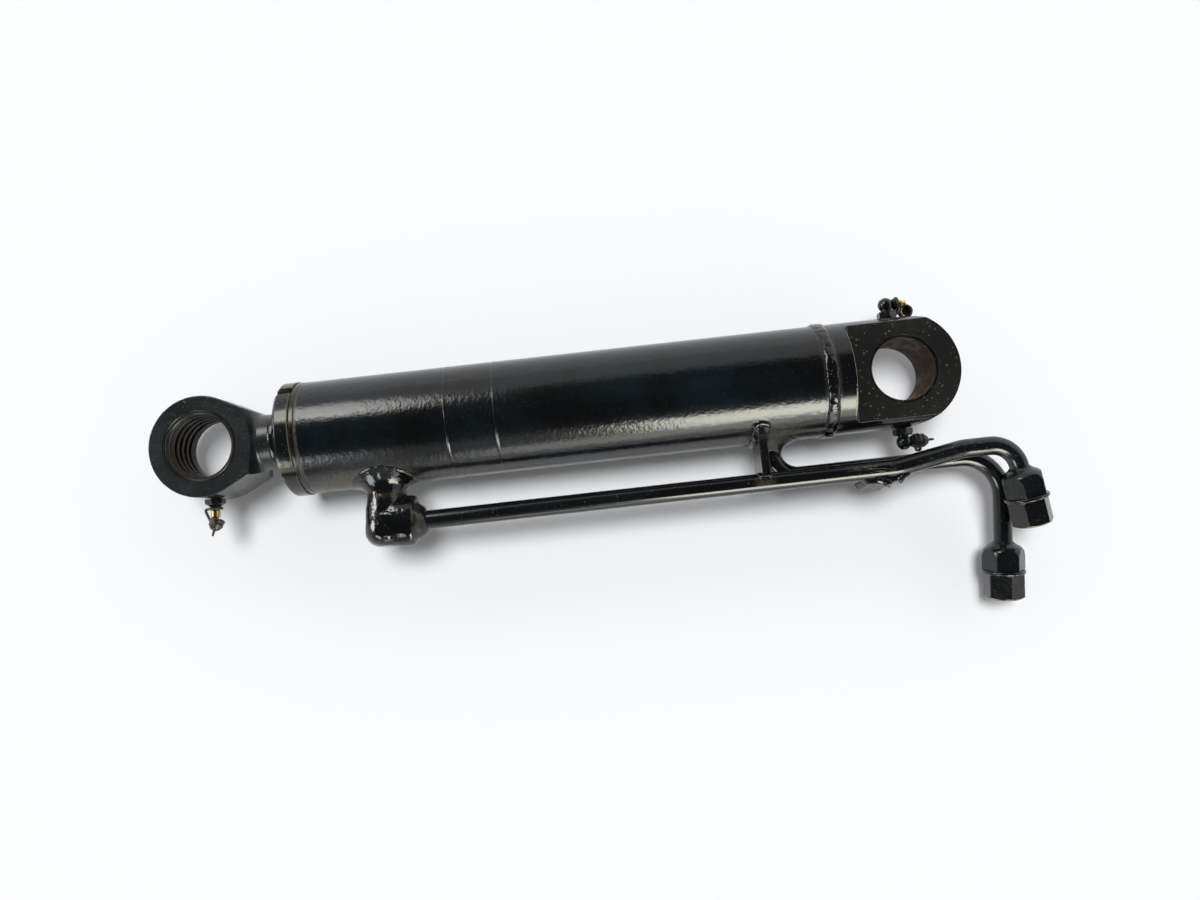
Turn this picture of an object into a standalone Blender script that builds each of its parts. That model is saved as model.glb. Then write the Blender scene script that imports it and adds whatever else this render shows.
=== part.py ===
"""Hydraulic cylinder with a welded base lug, a rod eye and two outside pipes, fully retracted.

Metres, +Z up. The origin is the centre of the base lug's pin bore. The tube lies along X with
the rod eye at -X, the pipes run along its -Y side, and both pin bores point along Z.
"""

import math

import bmesh
import bpy
from mathutils import Matrix, Vector

# Sizes of the working parts
BORE = 0.090
TUBE_OUTER = 0.110
ROD_DIAMETER = 0.055
STROKE = 0.300
PIN_BORE = 0.060

# Clearances
GAP = 0.0003
TURNING_GAP = 0.0006
GUIDE_CLEARANCE = 0.0006
STOP_CLEARANCE = 0.002
END_CLEARANCE = 0.008

# Lengths along the axis, from the base pin towards the rod eye
BASE_SHOULDER = 0.075
BASE_SPIGOT_LENGTH = 0.017
NUT_LENGTH = 0.030
PISTON_LENGTH = 0.056
GLAND_SPIGOT_LENGTH = 0.091
STOP_RING_WIDTH = 0.005
FLANGE_WIDTH = 0.0155
NECK_LENGTH = 0.0105
EYE_STANDOFF = 0.0780

# Base end
LUG_THICKNESS = 0.057
LUG_FLAT_LENGTH = 0.053
LUG_CORNER_RADIUS = 0.006
LUG_EDGE = 0.0012
BASE_BUSH_WALL = 0.0025
BUSH_RECESS = 0.001
WELD_HALF_WIDTH = 0.0052
WELD_GROOVE_DEPTH = 0.0045
WELD_CROWN = 0.002

# Gland
THREAD_DEPTH = 0.003
THREAD_LENGTH = 0.038
FLANGE_STEP = 0.001
FLANGE_BEVEL = 0.003
NOTCH_COUNT = 4
NOTCH_WIDTH = 0.010
NOTCH_DEPTH = 0.005
NOTCH_TURN = math.radians(39.5)
NOSE_DIAMETER = 0.078
SEAL_LAND = 0.002
NOSE_EDGE = 0.002
WIPER_DEPTH = 0.009
WIPER_WALL = 0.0055
ROD_SEAL_PLACE = 0.026
ROD_SEAL_WIDTH = 0.009
ROD_SEAL_WALL = 0.0065
BUFFER_SEAL_PLACE = 0.044
BUFFER_SEAL_WIDTH = 0.006
BUFFER_SEAL_WALL = 0.006
WEAR_BUSH_PLACE = 0.078
WEAR_BUSH_WIDTH = 0.036
WEAR_BUSH_WALL = 0.0025
O_RING_SECTION = 0.0036
BACKUP_WIDTH = 0.0016
O_RING_PLACE = 0.0065

# Piston and rod
SPIGOT_DIAMETER = 0.040
ROD_THREAD_DIAMETER = 0.036
PISTON_EDGE = 0.0015
PISTON_SEAL_WIDTH = 0.008
PISTON_SEAL_WALL = 0.0055
WEAR_RING_WIDTH = 0.012
WEAR_RING_WALL = 0.0025
WEAR_RING_OFFSET = 0.017
WEAR_RING_SPLIT = 0.002
NUT_ACROSS_FLATS = 0.060
LOCK_SCREW_DIAMETER = 0.008
LOCK_SCREW_SOCKET = 0.004
ROD_WELD_HALF_WIDTH = 0.0035
ROD_WELD_CROWN = 0.0014
ROD_WELD_DEPTH = 0.0025

# Rod eye
EYE_RADIUS = 0.049
EYE_THICKNESS = 0.063
EYE_TAPER = math.radians(27)
EYE_EDGE = 0.0012
FLARE_LENGTH = 0.010
FLARE_RADIUS = 0.058
EYE_BUSH_WALL = 0.005
DUST_SEAL_WIDTH = 0.0055
GREASE_GROOVE_COUNT = 4
GREASE_GROOVE_WIDTH = 0.004
GREASE_GROOVE_DEPTH = 0.0012

# Pipes
PIPE_DIAMETER = 0.018
PIPE_WALL = 0.0025
PIPE_SPACING = 0.030
LONG_PIPE_DROP = 0.0933
PIPE_DROP_STEP = 0.0038
LONG_PIPE_BEND = 0.027
PORT_BEND_LEAD = 0.0013
SHORT_PIPE_BEND = 0.040
SOFT_BEND = 0.060
RISE_START = -0.015
RISE_END = 0.050
LONG_PIPE_RISE = 0.0113
LONG_PIPE_CORNER = 0.0995
LONG_PIPE_LEAN = math.radians(8.8)
LONG_PIPE_TILT = math.radians(7)
LONG_PIPE_LEG = 0.0245
SHORT_PIPE_CORNER = 0.0994
SHORT_PIPE_LEAN = math.radians(4)
SHORT_PIPE_TILT = math.radians(7)
SHORT_PIPE_LEG = 0.0885
SOCKET_DEPTH = 0.008

# Ports, boss and elbow
PORT_DIAMETER = 0.012
HEAD_PORT_FROM_NOSE = 0.0205
BASE_PORT_FROM_END = 0.054
BOSS_FOOT_RADIUS = 0.028
BOSS_NECK_RADIUS = 0.0112
BOSS_HEIGHT = 0.010
BOSS_RIM = 0.0008
ELBOW_FOOT_RADIUS = 0.0335
ELBOW_NECK_RADIUS = 0.0182
ELBOW_NECK_HEIGHT = 0.011
ELBOW_HEIGHT = 0.0593
ELBOW_NEAR_SIDE = 0.027
ELBOW_FAR_SIDE = 0.0158
ELBOW_DEPTH = 0.038
ELBOW_CORNER = 0.014
ELBOW_EDGE = 0.0045
ELBOW_LEAN = math.radians(2.5)
COLLAR_LENGTH = 0.009
COLLAR_RADIUS = 0.0225

# Bracket and tie plate
BRACKET_FROM_PORT = 0.0150
BRACKET_THICKNESS = 0.008
BRACKET_DEPTH = 0.042
BRACKET_OVERLAP = 0.004
TIE_PLATE_START = -0.044
TIE_PLATE_BEND = -0.022
TIE_PLATE_FINISH = -0.008
TIE_PLATE_THICKNESS = 0.0055
TIE_PLATE_BITE = 0.003
TIE_PLATE_TAPER = 0.008
TIE_PLATE_LIFT = 0.003
TIE_PLATE_OVERHANG = 0.004

# Pipe-end fittings
CONNECTOR_ACROSS_FLATS = 0.036
CONNECTOR_LENGTH = 0.027
SHOULDER_LENGTH = 0.0105
SHOULDER_RADIUS = 0.0105
STUD_DIAMETER = 0.024
STUD_LENGTH = 0.011
SEAL_RING_DIAMETER = 0.0415
SEAL_RING_WIDTH = 0.0035
PLUG_ACROSS_FLATS = 0.034
PLUG_LENGTH = 0.0255
PLUG_EDGE = 0.0022
LONG_CONNECTOR_TURN = math.radians(-34)
LONG_PLUG_TURN = math.radians(-23)
SHORT_CONNECTOR_TURN = math.radians(-20)
SHORT_PLUG_TURN = math.radians(3)

# Grease fittings
TAP_RADIUS = 0.0050
TAP_DEPTH = 0.009
GREASE_HOLE_RADIUS = 0.003
ELBOW_HEX = 0.017
ELBOW_HEX_HEIGHT = 0.0070
BALL_RADIUS = 0.0073
BALL_HEIGHT = 0.0135
NOZZLE_RADIUS = 0.0060
NOZZLE_LENGTH = 0.0090
ADAPTOR_HEX = 0.017
ADAPTOR_HEX_HEIGHT = 0.0082
LOOP_NECK_RADIUS = 0.0046
LOOP_NECK_LENGTH = 0.0032
LOOP_RADIUS = 0.0072
LOOP_WIDTH = 0.0025
LOOP_GAP = 0.0008
NIPPLE_STUB_RADIUS = 0.0028
NIPPLE_STUB_LENGTH = 0.0045
NIPPLE_HEAD_RADIUS = 0.0033
NIPPLE_HEAD_LENGTH = 0.0045
ELBOW_NIPPLE_RADIUS = 0.0038
ELBOW_NIPPLE_COLLAR = 0.0035
ADAPTOR_NIPPLE_RADIUS = 0.0043
ADAPTOR_NIPPLE_COLLAR = 0.0068
CAP_RADIUS = 0.0074
CAP_LENGTH = 0.0105
CAP_WALL = 0.0020
CAP_TAIL_LENGTH = 0.0065
CAP_TAIL_RADIUS = 0.0013
STRAP_RADIUS = 0.0013
STRAP_BULGE = 0.0022
STRAP_BEND = 0.0014
OPEN_CAP_AXIS = (0.55, 0.20, -0.80)
OPEN_CAP_OFFSET = (0.0098, -0.0072, -0.0058)
HALF_CAP_AXIS = (-0.22, -0.88, 0.30)
HALF_CAP_OFFSET = (0.0010, -0.0112, 0.0)
EYE_TAP_TURN = math.radians(2)

# Facets of round pieces
MAIN_FACETS = 24
SMALL_FACETS = 18
FINE_FACETS = 12
CAP_FACETS = 8
PIPE_SIDES = 10
BEND_STEPS = 5
STRAP_SIDES = 5

# Places that follow from the sizes above
TUBE_RADIUS = TUBE_OUTER / 2
BORE_RADIUS = BORE / 2
ROD_RADIUS = ROD_DIAMETER / 2
THREAD_RADIUS = BORE_RADIUS + THREAD_DEPTH
FLANGE_RADIUS = TUBE_RADIUS + FLANGE_STEP
PIN_RADIUS = PIN_BORE / 2
PIPE_RADIUS = PIPE_DIAMETER / 2
BASE_WELD_X = -BASE_SHOULDER
SPIGOT_END_X = BASE_WELD_X - BASE_SPIGOT_LENGTH
NUT_END_X = SPIGOT_END_X - END_CLEARANCE
PISTON_BASE_X = NUT_END_X - NUT_LENGTH
PISTON_HEAD_X = PISTON_BASE_X - PISTON_LENGTH
GLAND_NOSE_X = PISTON_HEAD_X - STROKE - STOP_CLEARANCE
TUBE_HEAD_X = GLAND_NOSE_X - GLAND_SPIGOT_LENGTH
FLANGE_X = TUBE_HEAD_X - STOP_RING_WIDTH - 2 * GAP
GLAND_FACE_X = FLANGE_X - FLANGE_WIDTH
ROD_WELD_X = GLAND_FACE_X - NECK_LENGTH
EYE_X = GLAND_FACE_X - EYE_STANDOFF
HEAD_PORT_X = GLAND_NOSE_X - HEAD_PORT_FROM_NOSE
BASE_PORT_X = BASE_WELD_X - BASE_PORT_FROM_END
SHORT_PIPE_DROP = LONG_PIPE_DROP - PIPE_DROP_STEP
LONG_PIPE_Z = PIPE_SPACING / 2
SHORT_PIPE_Z = -PIPE_SPACING / 2
HEAD_PORT_TURN = math.atan2(LONG_PIPE_Z, LONG_PIPE_DROP)
BASE_PORT_TURN = math.atan2(SHORT_PIPE_Z, SHORT_PIPE_DROP)
LONG_PIPE_REACH = math.hypot(LONG_PIPE_Z, LONG_PIPE_DROP)
EYE_TAP_AXIS = Vector((-math.sin(EYE_TAP_TURN), -math.cos(EYE_TAP_TURN), 0.0))

X_AXIS = Vector((1.0, 0.0, 0.0))
Y_AXIS = Vector((0.0, 1.0, 0.0))
Z_AXIS = Vector((0.0, 0.0, 1.0))
MERGE = 1e-6
HEX_CORNER_SHARE = 0.985
SHARP = math.radians(28)


def clear_scene():
    """Removes whatever the scene holds."""
    for item in list(bpy.data.objects):
        bpy.data.objects.remove(item, do_unlink=True)


def finish(name, colour, roughness, metallic=0.0):
    """A Principled material, made once for each name."""
    found = bpy.data.materials.get(name)
    if found is not None:
        return found
    made = bpy.data.materials.new(name)
    made.use_nodes = True
    shader = made.node_tree.nodes["Principled BSDF"]
    shader.inputs["Base Color"].default_value = (*colour, 1.0)
    shader.inputs["Roughness"].default_value = roughness
    shader.inputs["Metallic"].default_value = metallic
    return made


def black_paint():
    return finish("black_paint", (0.012, 0.013, 0.015), 0.28)


def chrome():
    return finish("chrome", (0.55, 0.56, 0.58), 0.12, 1.0)


def machined_steel():
    return finish("machined_steel", (0.32, 0.31, 0.30), 0.38, 1.0)


def bush_steel():
    return finish("bush_steel", (0.16, 0.12, 0.09), 0.45, 1.0)


def black_iron():
    return finish("black_iron", (0.05, 0.05, 0.055), 0.45, 0.4)


def brass():
    return finish("brass", (0.55, 0.40, 0.14), 0.30, 1.0)


def bronze():
    return finish("bronze", (0.42, 0.27, 0.13), 0.40, 1.0)


def rubber():
    return finish("rubber", (0.02, 0.018, 0.016), 0.65)


def seal_plastic():
    return finish("seal_plastic", (0.10, 0.16, 0.20), 0.50)


def wear_plastic():
    return finish("wear_plastic", (0.28, 0.13, 0.07), 0.60)


def body_empty(name):
    """An empty on the cylinder's axis that carries the pieces of one moving body."""
    empty = bpy.data.objects.new(name, None)
    bpy.context.collection.objects.link(empty)
    return empty


def add_piece(name, mesh, surface=None, place=None, body=None):
    """Turns a bmesh into a named object that is shaded smooth between its sharp edges."""
    bmesh.ops.remove_doubles(mesh, verts=mesh.verts[:], dist=MERGE)
    bmesh.ops.recalc_face_normals(mesh, faces=mesh.faces[:])
    data = bpy.data.meshes.new(name)
    mesh.to_mesh(data)
    mesh.free()
    data.shade_smooth()
    data.set_sharp_from_angle(angle=SHARP)
    piece = bpy.data.objects.new(name, data)
    bpy.context.collection.objects.link(piece)
    if surface is not None:
        data.materials.append(surface)
    if body is not None:
        piece.parent = body
    if place is not None:
        piece.matrix_world = place
    return piece


def combine(piece, tool, operation):
    """Applies a tool shape to a piece with a Boolean, and keeps the tool out of the render."""
    tool.hide_render = True
    tool.display_type = "WIRE"
    modifier = piece.modifiers.new(tool.name, "BOOLEAN")
    modifier.operation = operation
    modifier.solver = "EXACT"
    modifier.object = tool


def cut(piece, tool):
    combine(piece, tool, "DIFFERENCE")


def join(piece, tool):
    combine(piece, tool, "UNION")


def keep_inside(piece, tool):
    combine(piece, tool, "INTERSECT")


def frame(origin, axis, side=Z_AXIS):
    """A placement whose local X is the axis and whose local Z leans as near as it can to the side."""
    along = Vector(axis).normalized()
    across = Vector(side).cross(along).normalized()
    up = along.cross(across)
    turn = Matrix((along, across, up)).transposed().to_4x4()
    return Matrix.Translation(origin) @ turn


def port_frame(x, turn):
    """Local X points out of the tube through a port, local Y along the tube, local Z round it."""
    outward = Vector((0.0, -math.cos(turn), math.sin(turn)))
    around = outward.cross(X_AXIS)
    turned_frame = Matrix((outward, X_AXIS, around)).transposed().to_4x4()
    return Matrix.Translation((x, 0.0, 0.0)) @ turned_frame


def turned(name, outline, surface=None, facets=MAIN_FACETS, place=None, body=None):
    """A body of revolution about local X, from (along, radius) points in order round its section."""
    mesh = bmesh.new()
    points = [mesh.verts.new((along, 0.0, radius)) for along, radius in outline]
    edges = [mesh.edges.new(pair) for pair in zip(points, points[1:])]
    if outline[0][1] > 0.0:
        edges.append(mesh.edges.new((points[-1], points[0])))
    bmesh.ops.spin(
        mesh,
        geom=points + edges,
        cent=(0.0, 0.0, 0.0),
        axis=X_AXIS,
        angle=2 * math.pi,
        steps=facets,
        use_merge=True,
    )
    return add_piece(name, mesh, surface, place, body)


def cylinder(name, start, end, radius, facets=SMALL_FACETS, place=None):
    """A plain solid rod along local X."""
    return turned(name, [(start, 0.0), (start, radius), (end, radius), (end, 0.0)], None, facets, place)


def ring(start, end, inner, outer, edge=0.0):
    """The section of a plain ring, with its outer corners bevelled by edge."""
    if edge == 0.0:
        return [(start, inner), (start, outer), (end, outer), (end, inner)]
    corners = [(start, outer - edge), (start + edge, outer), (end - edge, outer), (end, outer - edge)]
    return [(start, inner), *corners, (end, inner)]


def stepped(start, end, radius, grooves=()):
    """Points along a run at one radius, with (middle, width, floor radius) grooves met on the way."""
    way = math.copysign(1.0, end - start)
    points = [(start, radius)]
    for middle, width, floor in grooves:
        near, far = middle - way * width / 2, middle + way * width / 2
        points += [(near, radius), (near, floor), (far, floor), (far, radius)]
    points.append((end, radius))
    return points


def prism(name, outline, low, high, surface=None, place=None, body=None):
    """An outline in local X and Y, extruded from low to high along local Z."""
    mesh = bmesh.new()
    base = mesh.faces.new([mesh.verts.new((x, y, low)) for x, y in outline])
    raised = bmesh.ops.extrude_face_region(mesh, geom=[base])
    corners = [item for item in raised["geom"] if isinstance(item, bmesh.types.BMVert)]
    bmesh.ops.translate(mesh, verts=corners, vec=(0.0, 0.0, high - low))
    return add_piece(name, mesh, surface, place, body)


def block(name, low, high, place=None):
    """A box between two corners."""
    corners = [(low[0], low[1]), (high[0], low[1]), (high[0], high[1]), (low[0], high[1])]
    return prism(name, corners, low[2], high[2], place=place)


def arc(centre, radius, start, end, steps):
    """Points on an arc in a plane, ends included, with the angles in radians."""
    angles = [start + (end - start) * step / steps for step in range(steps + 1)]
    return [(centre[0] + radius * math.cos(a), centre[1] + radius * math.sin(a)) for a in angles]


def hexagon(name, across_flats, start, end, place=None, turn=0.0):
    """A hexagonal bar along local X."""
    radius = across_flats / math.sqrt(3)
    mesh = bmesh.new()
    corners = []
    for step in range(6):
        angle = turn + step * math.pi / 3
        corners.append(mesh.verts.new((start, radius * math.sin(angle), radius * math.cos(angle))))
    base = mesh.faces.new(corners)
    raised = bmesh.ops.extrude_face_region(mesh, geom=[base])
    ends = [item for item in raised["geom"] if isinstance(item, bmesh.types.BMVert)]
    bmesh.ops.translate(mesh, verts=ends, vec=(end - start, 0.0, 0.0))
    return add_piece(name, mesh, place=place)


def turned_corner(across_flats):
    """The radius to which the corners of a hexagonal bar are turned down."""
    return across_flats / math.sqrt(3) * HEX_CORNER_SHARE


def bent_route(corners, bends):
    """Points along a route of straight runs, with a round bend of each given radius between them."""
    points = [corners[0]]
    for before, corner, after, radius in zip(corners, corners[1:], corners[2:], bends):
        incoming = (corner - before).normalized()
        outgoing = (after - corner).normalized()
        bend = incoming.angle(outgoing)
        tangent = radius * math.tan(bend / 2)
        first = corner - incoming * tangent
        inward = (outgoing - incoming * incoming.dot(outgoing)).normalized()
        centre = first + inward * radius
        steps = max(2, round(BEND_STEPS * bend / (math.pi / 2)))
        for step in range(steps + 1):
            angle = bend * step / steps
            points.append(centre - inward * radius * math.cos(angle) + incoming * radius * math.sin(angle))
    points.append(corners[-1])
    return points


def swept(name, route, outer, inner=0.0, surface=None, sides=PIPE_SIDES, body=None):
    """A pipe of one outer radius along a route, solid when the inner radius is zero."""
    mesh = bmesh.new()
    directions = [(b - a).normalized() for a, b in zip(route, route[1:])]
    tangents = [directions[0]]
    tangents += [(a + b).normalized() for a, b in zip(directions, directions[1:])]
    tangents.append(directions[-1])
    side = tangents[0].orthogonal().normalized()
    outside, inside = [], []
    for point, tangent in zip(route, tangents):
        side = (side - tangent * side.dot(tangent)).normalized()
        other = tangent.cross(side)
        spokes = []
        for step in range(sides):
            angle = 2 * math.pi * step / sides
            spokes.append(side * math.cos(angle) + other * math.sin(angle))
        outside.append([mesh.verts.new(point + spoke * outer) for spoke in spokes])
        if inner > 0.0:
            inside.append([mesh.verts.new(point + spoke * inner) for spoke in spokes])
    for loops in (outside, inside):
        for first, second in zip(loops, loops[1:]):
            bridge(mesh, first, second)
    if inner > 0.0:
        bridge(mesh, outside[0], inside[0])
        bridge(mesh, outside[-1], inside[-1])
    else:
        mesh.faces.new(outside[0])
        mesh.faces.new(outside[-1])
    return add_piece(name, mesh, surface, body=body)


def bridge(mesh, first, second):
    """Quads between two loops of as many points."""
    count = len(first)
    for step in range(count):
        after = (step + 1) % count
        mesh.faces.new((first[step], first[after], second[after], second[step]))


def saddle_boss(name, place, foot, neck, height, surface=None, body=None, extra=0.0):
    """A boss whose foot follows the round tube and flares up into a round neck with a flat top.

    It is built in a port's frame and runs into the tube, from which its seat is cut afterwards.
    """
    facets = 2 * FINE_FACETS
    rows = 4
    top = TUBE_RADIUS + height + extra
    sunk = TUBE_RADIUS * 0.6
    mesh = bmesh.new()

    def loop(radius, level):
        points = []
        for step in range(facets):
            angle = 2 * math.pi * step / facets
            across, around = radius * math.cos(angle), radius * math.sin(angle)
            saddle = math.sqrt(TUBE_RADIUS**2 - around**2)
            points.append(mesh.verts.new((level(saddle), across, around)))
        return points

    loops = [loop(foot, lambda saddle: sunk)]
    for row in range(rows + 1):
        share = row / rows
        sweep = share * math.pi / 2
        radius = neck + (foot - neck) * (1 - math.sin(sweep))
        lift = 1 - math.cos(sweep)

        def flare(saddle, lift=lift):
            return saddle + BOSS_RIM + extra + (top - saddle - BOSS_RIM - extra) * lift

        loops.append(loop(radius, flare))
    for first, second in zip(loops, loops[1:]):
        bridge(mesh, first, second)
    mesh.faces.new(loops[0])
    mesh.faces.new(loops[-1])
    return add_piece(name, mesh, surface, place, body)


def tube_clearance(name):
    """The tube's outside with the seat gap, for pieces that stand on it."""
    return cylinder(name, TUBE_HEAD_X - TUBE_RADIUS, 0.0, TUBE_RADIUS + GAP, MAIN_FACETS)


def barrel_tube(body):
    """The honed tube, with a thread at the gland, a weld bevel at the base and two ports."""
    seat = TUBE_HEAD_X + THREAD_LENGTH
    outline = [
        (TUBE_HEAD_X, THREAD_RADIUS),
        (TUBE_HEAD_X, TUBE_RADIUS),
        (BASE_WELD_X - WELD_HALF_WIDTH, TUBE_RADIUS),
        (BASE_WELD_X - GAP / 2, TUBE_RADIUS - WELD_GROOVE_DEPTH),
        (BASE_WELD_X - GAP / 2, BORE_RADIUS),
        (seat + THREAD_DEPTH, BORE_RADIUS),
        (seat, THREAD_RADIUS),
    ]
    tube = turned("barrel_tube", outline, black_paint(), body=body)
    ports = (("head_port", HEAD_PORT_X, HEAD_PORT_TURN), ("base_port", BASE_PORT_X, BASE_PORT_TURN))
    for name, x, turn in ports:
        tool = cylinder(name, BORE_RADIUS / 2, TUBE_OUTER, PORT_DIAMETER / 2, 16, port_frame(x, turn))
        cut(tube, tool)


def base_end(body):
    """The base lug, turned from round bar, milled flat on both sides and spigoted into the tube."""
    spigot = BORE_RADIUS - GAP
    reach = TUBE_RADIUS * 1.2
    outline = [
        (SPIGOT_END_X, 0.0),
        (SPIGOT_END_X, spigot - LUG_EDGE),
        (SPIGOT_END_X + LUG_EDGE, spigot),
        (BASE_WELD_X + GAP / 2, spigot),
        (BASE_WELD_X + GAP / 2, TUBE_RADIUS - WELD_GROOVE_DEPTH),
        (BASE_WELD_X + WELD_HALF_WIDTH, TUBE_RADIUS),
        (reach, TUBE_RADIUS),
        (reach, 0.0),
    ]
    lug = turned("base_end", outline, black_paint(), body=body)
    end = arc((0.0, 0.0), TUBE_RADIUS, -math.pi / 2, math.pi / 2, MAIN_FACETS // 2)
    side = (SPIGOT_END_X - reach, reach)
    plan = [(side[0], -side[1]), (-LUG_EDGE, -side[1]), *end, (-LUG_EDGE, side[1]), side]
    keep_inside(lug, prism("lug_plan", plan, -reach, reach))
    half = LUG_THICKNESS / 2
    corner = LUG_CORNER_RADIUS
    for sign, name in ((1, "front_flat"), (-1, "back_flat")):
        curve = arc((-LUG_FLAT_LENGTH + corner, half + corner), corner, -math.pi / 2, -math.pi, 4)
        flat = [(reach * 1.1, half), *curve, (-LUG_FLAT_LENGTH, reach), (reach * 1.1, reach)]
        tool = prism(name, [(x, sign * z) for x, z in flat], -reach, reach)
        tool.matrix_world = Matrix.Rotation(math.pi / 2, 4, "X")
        cut(lug, tool)
    bore = PIN_RADIUS + BASE_BUSH_WALL + GAP
    upright = frame((0.0, 0.0, 0.0), Z_AXIS, X_AXIS)
    cut(lug, cylinder("lug_bore", -reach, reach, bore, MAIN_FACETS, upright))
    across = frame((0.0, 0.0, 0.0), Y_AXIS)
    cut(lug, cylinder("lug_grease_hole", -reach, reach, GREASE_HOLE_RADIUS, 8, across))
    for sign, name in ((1, "top_tap"), (-1, "bottom_tap")):
        depth = TUBE_RADIUS - TAP_DEPTH
        place = frame((0.0, 0.0, 0.0), Y_AXIS * sign)
        cut(lug, cylinder(name, depth, reach, TAP_RADIUS, 12, place))


def base_weld_bead(body):
    """The weld round the joint between tube and base."""
    root = TUBE_RADIUS - WELD_GROOVE_DEPTH + GAP
    edge = WELD_HALF_WIDTH
    outline = [
        (BASE_WELD_X - 2 * GAP, root + 2 * GAP),
        (BASE_WELD_X - edge - GAP, TUBE_RADIUS + GAP),
        (BASE_WELD_X - edge / 2, TUBE_RADIUS + WELD_CROWN),
        (BASE_WELD_X + edge / 2, TUBE_RADIUS + WELD_CROWN),
        (BASE_WELD_X + edge + GAP, TUBE_RADIUS + GAP),
        (BASE_WELD_X + 2 * GAP, root + 2 * GAP),
    ]
    turned("base_weld_bead", outline, black_paint(), body=body)


def base_bush(body):
    """The hardened bush in the base lug, with a grease hole towards each elbow."""
    half = LUG_THICKNESS / 2 - BUSH_RECESS
    outer = PIN_RADIUS + BASE_BUSH_WALL
    edge = BASE_BUSH_WALL / 3
    outline = [
        (-half, PIN_RADIUS + edge),
        (-half, outer),
        (half, outer),
        (half, PIN_RADIUS + edge),
        (half - edge, PIN_RADIUS),
        (-half + edge, PIN_RADIUS),
    ]
    upright = frame((0.0, 0.0, 0.0), Z_AXIS, X_AXIS)
    bush = turned("base_bush", outline, bush_steel(), place=upright, body=body)
    across = frame((0.0, 0.0, 0.0), Y_AXIS)
    cut(bush, cylinder("bush_grease_hole", -TUBE_RADIUS, TUBE_RADIUS, GREASE_HOLE_RADIUS, 8, across))


def gland_bore_grooves():
    """The seats for what runs on the rod, as (middle, width, floor radius) from nose to face."""
    seats = (
        (WEAR_BUSH_PLACE, WEAR_BUSH_WIDTH, WEAR_BUSH_WALL),
        (BUFFER_SEAL_PLACE, BUFFER_SEAL_WIDTH, BUFFER_SEAL_WALL),
        (ROD_SEAL_PLACE, ROD_SEAL_WIDTH, ROD_SEAL_WALL),
    )
    seat_floor = ROD_RADIUS + 2 * GAP
    return [(GLAND_FACE_X + place, width + 2 * GAP, seat_floor + wall) for place, width, wall in seats]


def gland(body):
    """The screwed-in cylinder head, bored for the rod and its seals and notched for a spanner."""
    thread_end = TUBE_HEAD_X + THREAD_LENGTH - 2 * GAP
    land = BORE_RADIUS - GAP
    nose = NOSE_DIAMETER / 2
    rod_clear = ROD_RADIUS + GUIDE_CLEARANCE
    seal_width = O_RING_SECTION + BACKUP_WIDTH + 3 * GAP
    seal_middle = thread_end + THREAD_DEPTH + O_RING_PLACE
    seal_floor = land - O_RING_SECTION + GAP
    nose_start = seal_middle + seal_width / 2 + SEAL_LAND
    wiper_floor = ROD_RADIUS + WIPER_WALL + 2 * GAP
    outline = [
        (GLAND_FACE_X, wiper_floor),
        (GLAND_FACE_X, FLANGE_RADIUS - FLANGE_BEVEL),
        (GLAND_FACE_X + FLANGE_BEVEL, FLANGE_RADIUS),
        (FLANGE_X, FLANGE_RADIUS),
        (FLANGE_X, THREAD_RADIUS - GAP),
        (thread_end, THREAD_RADIUS - GAP),
        *stepped(thread_end + THREAD_DEPTH, nose_start, land, [(seal_middle, seal_width, seal_floor)]),
        (nose_start + NOSE_EDGE, nose),
        (GLAND_NOSE_X - NOSE_EDGE, nose),
        (GLAND_NOSE_X, nose - NOSE_EDGE),
        *stepped(GLAND_NOSE_X, GLAND_FACE_X + WIPER_DEPTH, rod_clear, gland_bore_grooves()),
        (GLAND_FACE_X + WIPER_DEPTH, wiper_floor),
    ]
    head = turned("gland", outline, black_paint(), body=body)
    for number in range(NOTCH_COUNT):
        turn = Matrix.Rotation(NOTCH_TURN + number * 2 * math.pi / NOTCH_COUNT, 4, "X")
        low = (GLAND_FACE_X - FLANGE_WIDTH / 2, -NOTCH_WIDTH / 2, FLANGE_RADIUS - NOTCH_DEPTH)
        high = (FLANGE_X + STOP_RING_WIDTH / 2, NOTCH_WIDTH / 2, 2 * FLANGE_RADIUS)
        cut(head, block(f"gland_notch_{number + 1}", low, high, turn))


def gland_stop_ring(body):
    """The thin ring between the gland's flange and the end of the tube."""
    start = FLANGE_X + GAP
    edge = STOP_RING_WIDTH / 6
    outline = ring(start, start + STOP_RING_WIDTH, THREAD_RADIUS + GAP, TUBE_RADIUS, edge)
    turned("gland_stop_ring", outline, machined_steel(), body=body)


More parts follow.
